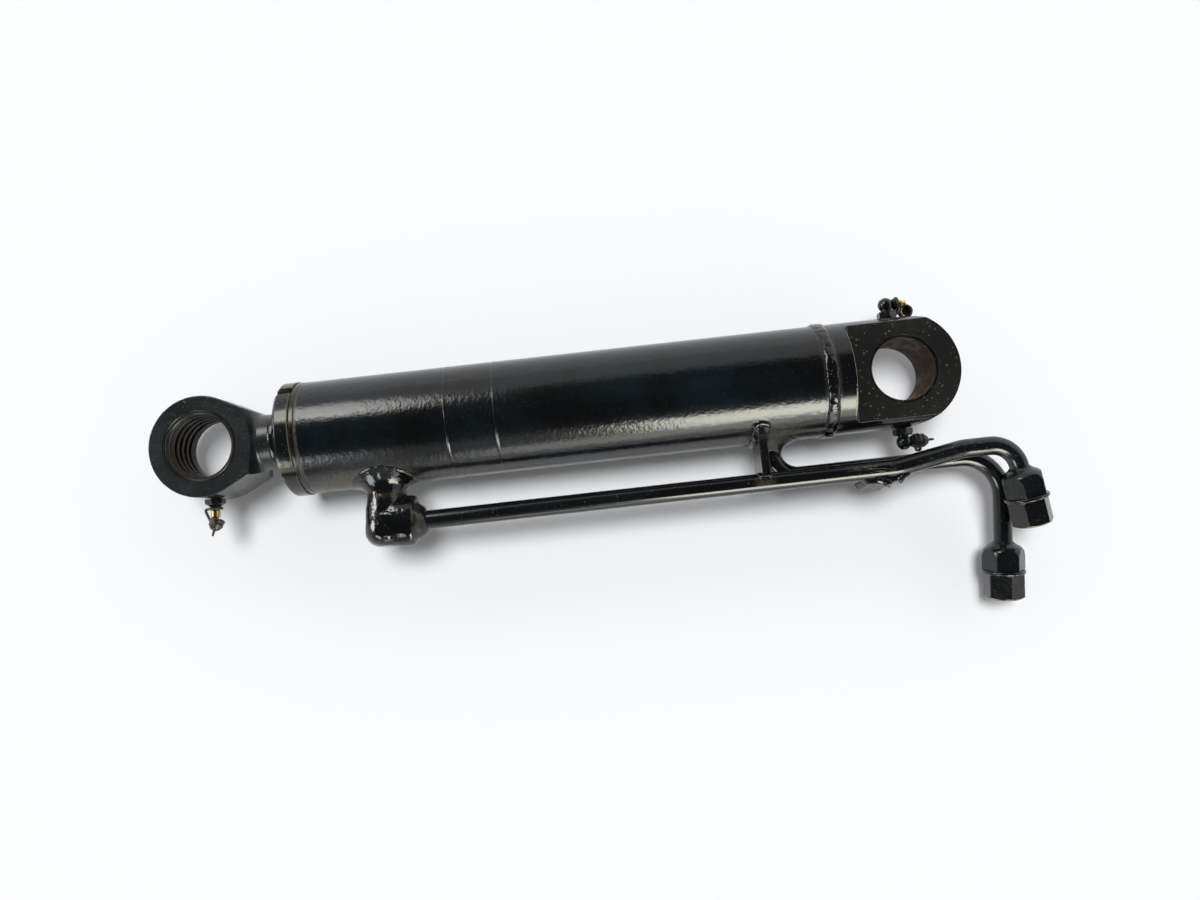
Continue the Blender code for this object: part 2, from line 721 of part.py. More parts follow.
def gland_inner_parts(body):
    """The bush and the seals that the rod runs through."""
    touch = ROD_RADIUS + GAP
    middle = GLAND_FACE_X + WEAR_BUSH_PLACE
    half = WEAR_BUSH_WIDTH / 2
    outline = ring(middle - half, middle + half, touch, ROD_RADIUS + WEAR_BUSH_WALL + GAP)
    turned("gland_wear_bush", outline, bronze(), body=body)
    middle = GLAND_FACE_X + BUFFER_SEAL_PLACE
    half = BUFFER_SEAL_WIDTH / 2
    outer = ROD_RADIUS + BUFFER_SEAL_WALL + GAP
    bevel = BUFFER_SEAL_WALL / 3
    outline = [
        (middle - half, touch + bevel),
        (middle - half, outer),
        (middle + half, outer),
        (middle + half, touch + bevel),
        (middle, touch),
    ]
    turned("gland_buffer_seal", outline, seal_plastic(), body=body)
    middle = GLAND_FACE_X + ROD_SEAL_PLACE
    half = ROD_SEAL_WIDTH / 2
    outer = ROD_RADIUS + ROD_SEAL_WALL + GAP
    mean = (touch + outer) / 2
    outline = [
        (middle - half, touch),
        (middle - half, outer),
        (middle + half, outer),
        (middle, mean),
        (middle + half, touch),
    ]
    turned("gland_rod_seal", outline, seal_plastic(), body=body)
    outer = ROD_RADIUS + WIPER_WALL + GAP
    outline = [
        (GLAND_FACE_X + WIPER_DEPTH - GAP, touch + WIPER_WALL / 3),
        (GLAND_FACE_X, touch),
        (GLAND_FACE_X, touch + WIPER_WALL / 3),
        (GLAND_FACE_X + WIPER_DEPTH / 3, outer),
        (GLAND_FACE_X + WIPER_DEPTH - GAP, outer),
    ]
    turned("gland_wiper_seal", outline, rubber(), body=body)


def round_ring(name, middle, mean_radius, section, surface, body):
    """An O-ring with a six-sided section."""
    outline = arc((middle, mean_radius), section / 2, math.pi, math.pi * 3, 6)[:-1]
    turned(name, outline, surface, body=body)


def gland_static_seals(body):
    """The O-ring and its backup ring between gland and tube."""
    thread_end = TUBE_HEAD_X + THREAD_LENGTH - 2 * GAP
    middle = thread_end + THREAD_DEPTH + O_RING_PLACE
    room = O_RING_SECTION + BACKUP_WIDTH + 3 * GAP
    start = middle - room / 2 + GAP
    floor = BORE_RADIUS - O_RING_SECTION + GAP
    mean = (floor + BORE_RADIUS - GAP) / 2
    section = BORE_RADIUS - GAP - floor
    backup = ring(start, start + BACKUP_WIDTH, floor, BORE_RADIUS - GAP)
    turned("gland_backup_ring", backup, seal_plastic(), body=body)
    place = start + BACKUP_WIDTH + GAP + O_RING_SECTION / 2
    round_ring("gland_o_ring", place, mean, section, rubber(), body)


def piston(body):
    """The piston on the rod's spigot, with grooves for its seal and its two wear rings."""
    middle = (PISTON_BASE_X + PISTON_HEAD_X) / 2
    outer = BORE_RADIUS - GUIDE_CLEARANCE
    seal_floor = BORE_RADIUS - PISTON_SEAL_WALL - TURNING_GAP
    wear_floor = BORE_RADIUS - WEAR_RING_WALL - TURNING_GAP
    inner = SPIGOT_DIAMETER / 2 + GAP
    ring_floor = inner + O_RING_SECTION - GAP
    head = PISTON_HEAD_X + GAP
    base = PISTON_BASE_X - GAP
    grooves = [
        (middle - WEAR_RING_OFFSET, WEAR_RING_WIDTH + 2 * GAP, wear_floor),
        (middle, PISTON_SEAL_WIDTH + 2 * GAP, seal_floor),
        (middle + WEAR_RING_OFFSET, WEAR_RING_WIDTH + 2 * GAP, wear_floor),
    ]
    outline = [
        (head, outer - PISTON_EDGE),
        *stepped(head + PISTON_EDGE, base - PISTON_EDGE, outer, grooves),
        (base, outer - PISTON_EDGE),
        *stepped(base, head, inner, [(middle, O_RING_SECTION + 2 * GAP, ring_floor)]),
    ]
    turned("piston", outline, black_iron(), body=body)


def piston_o_ring(body):
    """The static seal between piston and rod."""
    middle = (PISTON_BASE_X + PISTON_HEAD_X) / 2
    mean = SPIGOT_DIAMETER / 2 + GAP + (O_RING_SECTION - GAP) / 2
    round_ring("piston_o_ring", middle, mean, O_RING_SECTION - 3 * GAP, rubber(), body)


def piston_running_parts(body):
    """The seal and the split wear rings that travel along the bore."""
    middle = (PISTON_BASE_X + PISTON_HEAD_X) / 2
    outer = BORE_RADIUS - GAP
    half = PISTON_SEAL_WIDTH / 2
    seal = ring(middle - half, middle + half, BORE_RADIUS - PISTON_SEAL_WALL, outer, PISTON_EDGE / 2)
    turned("piston_seal", seal, seal_plastic(), body=body)
    for sign, name in ((-1, "piston_wear_ring_front"), (1, "piston_wear_ring_back")):
        place = middle + sign * WEAR_RING_OFFSET
        start, end = place - WEAR_RING_WIDTH / 2, place + WEAR_RING_WIDTH / 2
        section = ring(start, end, BORE_RADIUS - WEAR_RING_WALL, outer)
        wear_ring = turned(name, section, wear_plastic(), body=body)
        low = (start - WEAR_RING_WIDTH, -WEAR_RING_SPLIT / 2, 0.0)
        high = (end + WEAR_RING_WIDTH, WEAR_RING_SPLIT / 2, BORE)
        cut(wear_ring, block(f"{name}_split", low, high))


def piston_nut(body):
    """The nut that holds the piston, and the screw that locks the nut on its thread."""
    start, end = PISTON_BASE_X, NUT_END_X
    corner = turned_corner(NUT_ACROSS_FLATS)
    edge = corner - NUT_ACROSS_FLATS / 2
    bore = ROD_THREAD_DIAMETER / 2 + GAP
    outline = ring(start, end, bore, corner, edge)
    nut = turned("piston_nut", outline, machined_steel(), body=body)
    keep_inside(nut, hexagon("nut_flats", NUT_ACROSS_FLATS, start - edge, end + edge, turn=math.pi / 6))
    middle = ((start + end) / 2, 0.0, 0.0)
    upward = frame(middle, Z_AXIS, X_AXIS)
    hole = cylinder("lock_screw_hole", bore / 2, NUT_ACROSS_FLATS, LOCK_SCREW_DIAMETER / 2 + GAP, 12, upward)
    cut(nut, hole)
    screw_end = bore + GAP
    screw_top = NUT_ACROSS_FLATS / 2 - GAP
    radius = LOCK_SCREW_DIAMETER / 2
    section = [
        (screw_end, 0.0),
        (screw_end, radius * 0.7),
        (screw_end + radius * 0.3, radius),
        (screw_top, radius),
        (screw_top, 0.0),
    ]
    screw = turned("piston_lock_screw", section, machined_steel(), 12, upward, body)
    socket = hexagon("lock_screw_socket", LOCK_SCREW_SOCKET, screw_top - radius, NUT_ACROSS_FLATS, upward)
    cut(screw, socket)


def piston_rod(body):
    """The chromed rod, stepped down for the piston and its nut."""
    spigot = SPIGOT_DIAMETER / 2
    thread = ROD_THREAD_DIAMETER / 2
    edge = PISTON_EDGE
    outline = [
        (ROD_WELD_X + GAP / 2, 0.0),
        (ROD_WELD_X + GAP / 2, ROD_RADIUS - ROD_WELD_DEPTH),
        (ROD_WELD_X + ROD_WELD_HALF_WIDTH, ROD_RADIUS),
        (PISTON_HEAD_X - edge, ROD_RADIUS),
        (PISTON_HEAD_X, ROD_RADIUS - edge),
        (PISTON_HEAD_X, spigot),
        (PISTON_BASE_X - GAP, spigot),
        (PISTON_BASE_X - GAP, thread),
        (NUT_END_X - edge, thread),
        (NUT_END_X, thread - edge),
        (NUT_END_X, 0.0),
    ]
    turned("piston_rod", outline, chrome(), body=body)


def rod_eye_weld_bead(body):
    """The weld between the eye's shank and the rod."""
    root = ROD_RADIUS - ROD_WELD_DEPTH + GAP
    edge = ROD_WELD_HALF_WIDTH
    outline = [
        (ROD_WELD_X - 2 * GAP, root + 2 * GAP),
        (ROD_WELD_X - edge - GAP, ROD_RADIUS + GAP),
        (ROD_WELD_X - edge / 2, ROD_RADIUS + ROD_WELD_CROWN),
        (ROD_WELD_X + edge / 2, ROD_RADIUS + ROD_WELD_CROWN),
        (ROD_WELD_X + edge + GAP, ROD_RADIUS + GAP),
        (ROD_WELD_X + 2 * GAP, root + 2 * GAP),
    ]
    turned("rod_eye_weld_bead", outline, black_paint(), body=body)


def eye_plan():
    """The eye seen along its bore: a round end whose sides run straight to the shank."""
    side_angle = math.pi / 2 - EYE_TAPER
    shank = ROD_RADIUS + LUG_EDGE
    corner = (EYE_RADIUS * math.cos(side_angle), EYE_RADIUS * math.sin(side_angle))
    foot = corner[0] + (corner[1] - shank) / math.tan(EYE_TAPER)
    round_end = arc((EYE_X, 0.0), EYE_RADIUS, side_angle, 2 * math.pi - side_angle, MAIN_FACETS * 3 // 4)
    reach = GLAND_FACE_X
    return [(reach, shank), (EYE_X + foot, shank), *round_end, (EYE_X + foot, -shank), (reach, -shank)]


def rod_eye(body):
    """The forged eye: flat cheeks that break off into a flared, round shank."""
    flare_end = EYE_X + EYE_RADIUS + FLARE_LENGTH / 2
    flare_start = flare_end - FLARE_LENGTH
    flare = []
    for step in range(6):
        share = step / 5
        rise = (FLARE_RADIUS - ROD_RADIUS) * (1 - math.sqrt(1 - (1 - share) ** 2))
        flare.append((flare_start + FLARE_LENGTH * share, ROD_RADIUS + rise))
    far_end = EYE_X - FLARE_RADIUS
    outline = [
        (far_end, 0.0),
        (far_end, FLARE_RADIUS),
        *flare,
        (ROD_WELD_X - ROD_WELD_HALF_WIDTH, ROD_RADIUS),
        (ROD_WELD_X - GAP / 2, ROD_RADIUS - ROD_WELD_DEPTH),
        (ROD_WELD_X - GAP / 2, 0.0),
    ]
    eye = turned("rod_eye", outline, black_paint(), body=body)
    half = EYE_THICKNESS / 2
    plan = prism("eye_plan", eye_plan(), -half, half)
    bevel = plan.modifiers.new("cheek_edge", "BEVEL")
    bevel.width = EYE_EDGE
    bevel.segments = 1
    bevel.limit_method = "ANGLE"
    bevel.angle_limit = math.radians(60)
    keep_inside(eye, plan)
    upright = frame((EYE_X, 0.0, 0.0), Z_AXIS, X_AXIS)
    bore = PIN_RADIUS + EYE_BUSH_WALL + GAP
    cut(eye, cylinder("eye_bore", -EYE_THICKNESS, EYE_THICKNESS, bore, MAIN_FACETS, upright))
    downward = frame((EYE_X, 0.0, 0.0), EYE_TAP_AXIS)
    cut(eye, cylinder("eye_grease_hole", 0.0, EYE_THICKNESS, GREASE_HOLE_RADIUS, 8, downward))
    cut(eye, cylinder("eye_tap", EYE_RADIUS - TAP_DEPTH, EYE_THICKNESS, TAP_RADIUS, 12, downward))


def rod_eye_bush(body):
    """The eye's bush, with a row of grease grooves round its bore."""
    half = EYE_THICKNESS / 2 - DUST_SEAL_WIDTH - 3 * GAP
    outer = PIN_RADIUS + EYE_BUSH_WALL
    pitch = 2 * half / (GREASE_GROOVE_COUNT + 1)
    outline = [(-half, PIN_RADIUS), (-half, outer), (half, outer), (half, PIN_RADIUS)]
    for number in range(GREASE_GROOVE_COUNT):
        middle = half - pitch * (number + 1)
        reach = GREASE_GROOVE_WIDTH / 2
        floor = PIN_RADIUS + GREASE_GROOVE_DEPTH
        outline += [(middle + reach, PIN_RADIUS), (middle, floor), (middle - reach, PIN_RADIUS)]
    upright = frame((EYE_X, 0.0, 0.0), Z_AXIS, X_AXIS)
    bush = turned("rod_eye_bush", outline, bush_steel(), place=upright, body=body)
    downward = frame((EYE_X, 0.0, 0.0), EYE_TAP_AXIS)
    cut(bush, cylinder("eye_bush_grease_hole", 0.0, EYE_THICKNESS, GREASE_HOLE_RADIUS, 8, downward))


def rod_eye_dust_seals(body):
    """The two rings that keep dirt out of the eye's bush."""
    for sign, name in ((1, "rod_eye_dust_seal_front"), (-1, "rod_eye_dust_seal_back")):
        outward = frame((EYE_X, 0.0, 0.0), Z_AXIS * sign, X_AXIS)
        end = EYE_THICKNESS / 2 - GAP
        start = end - DUST_SEAL_WIDTH
        outer = PIN_RADIUS + EYE_BUSH_WALL
        outline = [
            (start, PIN_RADIUS + GAP),
            (start, outer),
            (end, outer),
            (end - EYE_BUSH_WALL / 4, outer - EYE_BUSH_WALL / 2),
            (end, PIN_RADIUS + EYE_BUSH_WALL / 3),
            (end - EYE_BUSH_WALL / 4, PIN_RADIUS + GAP),
        ]
        turned(name, outline, rubber(), place=outward, body=body)


def long_pipe_route():
    """From the gland elbow along the tube, up a little past the tie plate, then down to its connector."""
    start_x = HEAD_PORT_X + ELBOW_NEAR_SIDE + COLLAR_LENGTH - SOCKET_DEPTH
    low, high = -LONG_PIPE_DROP, -LONG_PIPE_DROP + LONG_PIPE_RISE
    corner = Vector((LONG_PIPE_CORNER, high, LONG_PIPE_Z))
    down = Vector((math.tan(LONG_PIPE_LEAN), -1.0, -math.tan(LONG_PIPE_TILT)))
    end = corner + down * LONG_PIPE_LEG
    corners = [
        Vector((start_x, low, LONG_PIPE_Z)),
        Vector((RISE_START, low, LONG_PIPE_Z)),
        Vector((RISE_END, high, LONG_PIPE_Z)),
        corner,
        end,
    ]
    return bent_route(corners, (SOFT_BEND, SOFT_BEND, LONG_PIPE_BEND))


def short_pipe_route():
    """Out of the base port, along the tube and down to its connector."""
    level = -SHORT_PIPE_DROP
    out = port_frame(BASE_PORT_X, BASE_PORT_TURN)
    corner = Vector((SHORT_PIPE_CORNER, level, SHORT_PIPE_Z))
    down = Vector((-math.tan(SHORT_PIPE_LEAN), -1.0, -math.tan(SHORT_PIPE_TILT)))
    end = corner + down * SHORT_PIPE_LEG
    reach = math.hypot(SHORT_PIPE_DROP, SHORT_PIPE_Z)
    port_bend = reach - TUBE_RADIUS - BOSS_HEIGHT + PORT_BEND_LEAD
    corners = [
        out @ Vector((TUBE_RADIUS + 2 * GAP, 0.0, 0.0)),
        out @ Vector((reach, 0.0, 0.0)),
        corner,
        end,
    ]
    return bent_route(corners, (port_bend, SHORT_PIPE_BEND))


def pipes(body):
    """The two steel pipes."""
    inner = PIPE_RADIUS - PIPE_WALL
    swept("long_pipe", long_pipe_route(), PIPE_RADIUS, inner, black_paint(), body=body)
    swept("short_pipe", short_pipe_route(), PIPE_RADIUS, inner, black_paint(), body=body)


def gland_port_elbow(body):
    """The rough cast elbow: a saddle foot, a neck, a block and a collar for the long pipe."""
    place = port_frame(HEAD_PORT_X, HEAD_PORT_TURN)
    shell = saddle_boss(
        "gland_port_elbow",
        place,
        ELBOW_FOOT_RADIUS,
        ELBOW_NECK_RADIUS,
        ELBOW_NECK_HEIGHT + ELBOW_CORNER / 2,
        black_paint(),
        body,
    )
    top = TUBE_RADIUS + ELBOW_NECK_HEIGHT
    bottom = TUBE_RADIUS + ELBOW_HEIGHT
    corner = (bottom - ELBOW_CORNER, -ELBOW_FAR_SIDE + ELBOW_CORNER)
    rounded = arc(corner, ELBOW_CORNER, 0.0, -math.pi / 2, 5)
    plan = [(top, ELBOW_NEAR_SIDE), (bottom, ELBOW_NEAR_SIDE), *rounded, (top, -ELBOW_FAR_SIDE)]
    lean = Matrix.Translation((top, 0.0, 0.0)) @ Matrix.Rotation(-ELBOW_LEAN, 4, "Z")
    lean = place @ lean @ Matrix.Translation((-top, 0.0, 0.0))
    body_block = prism("elbow_block", plan, -ELBOW_DEPTH / 2, ELBOW_DEPTH / 2, place=lean)
    bevel = body_block.modifiers.new("cast_edges", "BEVEL")
    bevel.width = ELBOW_EDGE
    bevel.segments = 2
    bevel.limit_method = "ANGLE"
    bevel.angle_limit = math.radians(50)
    join(shell, body_block)
    axis = frame((HEAD_PORT_X, -LONG_PIPE_DROP, LONG_PIPE_Z), X_AXIS)
    near = ELBOW_NEAR_SIDE - ELBOW_EDGE
    end = ELBOW_NEAR_SIDE + COLLAR_LENGTH
    section = [(near, 0.0), (near, COLLAR_RADIUS), (end, PIPE_RADIUS + PIPE_WALL), (end, 0.0)]
    collar = turned("elbow_collar", section, None, SMALL_FACETS, axis)
    side = ELBOW_DEPTH / 2 - ELBOW_EDGE / 3
    low = (TUBE_RADIUS, 0.0, -side)
    high = (bottom - ELBOW_EDGE / 3, ELBOW_NEAR_SIDE + 2 * COLLAR_LENGTH, side)
    keep_inside(collar, block("elbow_collar_limits", low, high, place))
    join(shell, collar)
    cut(shell, tube_clearance("elbow_seat"))
    drill = cylinder("elbow_drill", BORE_RADIUS, LONG_PIPE_REACH, PORT_DIAMETER / 2, 12, place)
    cut(shell, drill)
    passage = PIPE_RADIUS - PIPE_WALL
    section = [
        (-passage, 0.0),
        (-passage, passage),
        (end - SOCKET_DEPTH - GAP, passage),
        (end - SOCKET_DEPTH - GAP, PIPE_RADIUS + GAP),
        (end + SOCKET_DEPTH, PIPE_RADIUS + GAP),
        (end + SOCKET_DEPTH, 0.0),
    ]
    cut(shell, turned("elbow_socket", section, None, SMALL_FACETS, axis))


def base_port_boss(body):
    """The flared boss over the base-side port, bored for the short pipe's end."""
    place = port_frame(BASE_PORT_X, BASE_PORT_TURN)
    boss = saddle_boss(
        "base_port_boss", place, BOSS_FOOT_RADIUS, BOSS_NECK_RADIUS, BOSS_HEIGHT, black_paint(), body
    )
    cut(boss, tube_clearance("boss_seat"))
    reach = 2 * TUBE_RADIUS
    cut(boss, cylinder("boss_socket", BORE_RADIUS / 2, reach, PIPE_RADIUS + GAP, SMALL_FACETS, place))


def pipe_bracket(body):
    """The plate between tube and long pipe, cut to the tube, the pipe and the boss beside it."""
    middle = BASE_PORT_X - BRACKET_FROM_PORT
    half = BRACKET_DEPTH / 2
    foot = -LONG_PIPE_DROP + PIPE_RADIUS - BRACKET_OVERLAP
    low = (middle - BRACKET_THICKNESS / 2, foot, LONG_PIPE_Z - half)
    high = (middle + BRACKET_THICKNESS / 2, -TUBE_RADIUS / 2, LONG_PIPE_Z + half)
    corners = [(low[0], low[1]), (high[0], low[1]), (high[0], high[1]), (low[0], high[1])]
    plate = prism("pipe_bracket", corners, low[2], high[2], black_paint(), body=body)
    cut(plate, tube_clearance("bracket_seat"))
    cut(plate, swept("bracket_pipe_seat", long_pipe_route(), PIPE_RADIUS + GAP))
    place = port_frame(BASE_PORT_X, BASE_PORT_TURN)
    cut(
        plate,
        saddle_boss(
            "bracket_boss_seat", place, BOSS_FOOT_RADIUS + GAP, BOSS_NECK_RADIUS + GAP, BOSS_HEIGHT, extra=GAP
        ),
    )


def pipe_tie_plate(body):
    """The bent plate across both pipes, tapered at one end and turned up at the other."""
    top = -PIPE_RADIUS + TIE_PLATE_BITE
    bottom = top - TIE_PLATE_THICKNESS
    side = [
        (TIE_PLATE_START, top),
        (TIE_PLATE_START, top - TIE_PLATE_THICKNESS / 4),
        (TIE_PLATE_START + TIE_PLATE_TAPER, bottom),
        (TIE_PLATE_BEND, bottom),
        (TIE_PLATE_FINISH + TIE_PLATE_THICKNESS / 3, bottom + TIE_PLATE_LIFT),
        (TIE_PLATE_FINISH, top + TIE_PLATE_LIFT),
        (TIE_PLATE_BEND, top),
    ]
    turn = math.atan2(PIPE_DROP_STEP, PIPE_SPACING)
    place = Matrix.Translation((0.0, -LONG_PIPE_DROP, LONG_PIPE_Z)) @ Matrix.Rotation(-turn, 4, "X")
    low, high = -PIPE_SPACING - TIE_PLATE_OVERHANG, TIE_PLATE_OVERHANG
    plate = prism("pipe_tie_plate", side, low, high, black_paint(), place, body)
    cut(plate, swept("tie_long_seat", long_pipe_route(), PIPE_RADIUS + GAP))
    cut(plate, swept("tie_short_seat", short_pipe_route(), PIPE_RADIUS + GAP))


def pipe_fitting(prefix, route, connector_turn, plug_turn, body):
    """The connector on a pipe's end, with its ring and its plug."""
    place = frame(route[-1], (route[-1] - route[-2]).normalized())
    corner = turned_corner(CONNECTOR_ACROSS_FLATS)
    passage = PIPE_RADIUS - PIPE_WALL
    stud = STUD_DIAMETER / 2
    start = -SOCKET_DEPTH / 8
    outline = [
        (start, PIPE_RADIUS + GAP),
        (start, SHOULDER_RADIUS),
        (start + SHOULDER_LENGTH, corner),
        (CONNECTOR_LENGTH, corner),
        (CONNECTOR_LENGTH, stud + GAP),
        (CONNECTOR_LENGTH - STUD_LENGTH - GAP, stud + GAP),
        (CONNECTOR_LENGTH - STUD_LENGTH - GAP, passage),
        (GAP, passage),
        (GAP, PIPE_RADIUS + GAP),
    ]
    stood = place @ Matrix.Rotation(connector_turn, 4, "X")
    connector = turned(f"{prefix}_connector", outline, black_paint(), SMALL_FACETS, stood, body)
    far = CONNECTOR_LENGTH + corner
    keep_inside(connector, hexagon(f"{prefix}_connector_flats", CONNECTOR_ACROSS_FLATS, -corner, far, stood))
    ring_start = CONNECTOR_LENGTH + GAP
    ring_end = ring_start + SEAL_RING_WIDTH
    edge = SEAL_RING_WIDTH / 4
    section = ring(ring_start, ring_end, stud + GAP, SEAL_RING_DIAMETER / 2, edge)
    turned(f"{prefix}_seal_ring", section, black_paint(), SMALL_FACETS, place, body)
    head = ring_end + GAP
    end = head + PLUG_LENGTH
    corner = turned_corner(PLUG_ACROSS_FLATS)
    section = [
        (CONNECTOR_LENGTH - STUD_LENGTH, 0.0),
        (CONNECTOR_LENGTH - STUD_LENGTH, stud),
        (head, stud),
        (head, corner),
        (end - PLUG_EDGE, corner),
        (end, corner - 2 * PLUG_EDGE),
        (end, 0.0),
    ]
    stood = place @ Matrix.Rotation(plug_turn, 4, "X")
    plug = turned(f"{prefix}_plug", section, black_paint(), FINE_FACETS, stood, body)
    keep_inside(plug, hexagon(f"{prefix}_plug_flats", PLUG_ACROSS_FLATS, -corner, end + corner, stood))


def grease_nipple(name, place, radius, collar, body):
    """A brass nipple whose collar starts at the local origin and whose head points along local X."""
    head = collar + NIPPLE_HEAD_LENGTH
    neck = NIPPLE_HEAD_RADIUS * 0.7
    section = [
        (-NIPPLE_STUB_LENGTH, 0.0),
        (-NIPPLE_STUB_LENGTH, NIPPLE_STUB_RADIUS),
        (GAP, NIPPLE_STUB_RADIUS),
        (GAP, radius),
        (collar, radius),
        (collar + NIPPLE_HEAD_LENGTH * 0.3, neck),
        (collar + NIPPLE_HEAD_LENGTH * 0.7, NIPPLE_HEAD_RADIUS),
        (head, neck),
        (head, 0.0),
    ]
    turned(name, section, brass(), CAP_FACETS, place, body)


def loop_seat(reach):
    """The outline of a neck of one radius, up to reach, that carries a cap's loop and takes a nipple."""
    stub = NIPPLE_STUB_RADIUS + GAP
    return [
        (reach - LOOP_NECK_LENGTH, LOOP_NECK_RADIUS),
        (reach, LOOP_NECK_RADIUS),
        (reach, stub),
        (reach - NIPPLE_STUB_LENGTH - GAP, stub),
        (reach - NIPPLE_STUB_LENGTH - GAP, 0.0),
    ]


def grease_cap(name, loop_place, cap_place, strap, body):
    """A rubber cup with a tail, and the strap that ties it to a loop round the nipple's neck."""
    bore = CAP_RADIUS - CAP_WALL
    floor = CAP_LENGTH - CAP_WALL
    tail = CAP_LENGTH + CAP_TAIL_LENGTH
    section = [
        (floor, 0.0),
        (floor, bore),
        (0.0, bore),
        (0.0, CAP_RADIUS),
        (CAP_LENGTH * 0.6, CAP_RADIUS),
        (CAP_LENGTH, CAP_RADIUS * 0.5),
        (CAP_LENGTH, CAP_TAIL_RADIUS),
        (tail, CAP_TAIL_RADIUS * 0.7),
        (tail, 0.0),
    ]
    cap = turned(name, section, rubber(), CAP_FACETS, cap_place, body)
    inner = LOOP_NECK_RADIUS + TURNING_GAP
    band = ring(-LOOP_WIDTH / 2, LOOP_WIDTH / 2, inner, LOOP_RADIUS)
    join(cap, turned(f"{name}_loop", band, None, CAP_FACETS, loop_place))
    route = bent_route(strap, [STRAP_BEND] * (len(strap) - 2))
    join(cap, swept(f"{name}_strap", route, STRAP_RADIUS, sides=STRAP_SIDES))


def base_grease_set(prefix, sign, body):
    """An elbow screwed into the base lug with its nipple pointing away from the tube, at y = sign."""
    up = Y_AXIS * sign
    foot = up * (TUBE_RADIUS + GAP)
    place = frame(foot, up)
    top = ELBOW_HEX_HEIGHT
    stud = TAP_RADIUS - GAP
    corner = turned_corner(ELBOW_HEX)
    section = [
        (-TAP_DEPTH + 2 * GAP, 0.0),
        (-TAP_DEPTH + 2 * GAP, stud),
        (GAP, stud),
        (GAP, corner),
        (top * 0.7, corner),
        (top, ELBOW_HEX / 2 - BALL_RADIUS * 0.2),
        (top, BALL_RADIUS * 0.7),
        (BALL_HEIGHT, BALL_RADIUS * 0.7),
        (BALL_HEIGHT, 0.0),
    ]
    elbow = turned(f"{prefix}_grease_elbow", section, black_paint(), FINE_FACETS, place, body)
    keep_inside(elbow, hexagon(f"{prefix}_elbow_flats", ELBOW_HEX, -TAP_DEPTH * 2, BALL_HEIGHT * 2, place))
    centre = foot + up * BALL_HEIGHT
    nozzle = frame(centre, X_AXIS)
    ball = arc((0.0, 0.0), BALL_RADIUS, math.pi, math.pi / 6, 4)
    reach = NOZZLE_LENGTH + LOOP_NECK_LENGTH
    outline = [(-BALL_RADIUS, 0.0), *ball[1:], (NOZZLE_LENGTH, NOZZLE_RADIUS), *loop_seat(reach)]
    join(elbow, turned(f"{prefix}_elbow_nozzle", outline, None, FINE_FACETS, nozzle))
    tip = frame(centre + X_AXIS * reach, X_AXIS)
    grease_nipple(f"{prefix}_grease_nipple", tip, ELBOW_NIPPLE_RADIUS, ELBOW_NIPPLE_COLLAR, body)
    loop = centre + X_AXIS * (reach - LOOP_NECK_LENGTH / 2)
    return loop


def base_grease_sets(body):
    """The capped set below the lug in the picture and the open one above it."""
    loop = base_grease_set("base_bottom", -1, body)
    rim = loop + X_AXIS * (LOOP_WIDTH / 2 + LOOP_GAP)
    ring_middle = (LOOP_NECK_RADIUS + LOOP_RADIUS) / 2
    cap_side = CAP_RADIUS - CAP_WALL / 2
    strap = [
        loop - Y_AXIS * ring_middle,
        loop - Y_AXIS * (LOOP_RADIUS + STRAP_BULGE),
        rim - Y_AXIS * (LOOP_RADIUS + STRAP_BULGE) + X_AXIS * LOOP_WIDTH,
        rim - Y_AXIS * cap_side + X_AXIS * LOOP_WIDTH,
    ]
    place = frame(loop, X_AXIS)
    grease_cap("base_bottom_grease_cap", place, frame(rim, X_AXIS), strap, body)
    loop = base_grease_set("base_top", 1, body)
    axis = Vector(OPEN_CAP_AXIS).normalized()
    mouth = loop + Vector(OPEN_CAP_OFFSET)
    side = (loop - mouth - axis * axis.dot(loop - mouth)).normalized()
    anchor = mouth + side * cap_side + axis * LOOP_WIDTH
    start = loop - Y_AXIS * ring_middle
    strap = [start, start - Y_AXIS * (LOOP_RADIUS - LOOP_NECK_RADIUS + STRAP_BULGE), anchor]
    grease_cap("base_top_grease_cap", frame(loop, X_AXIS), frame(mouth, axis), strap, body)


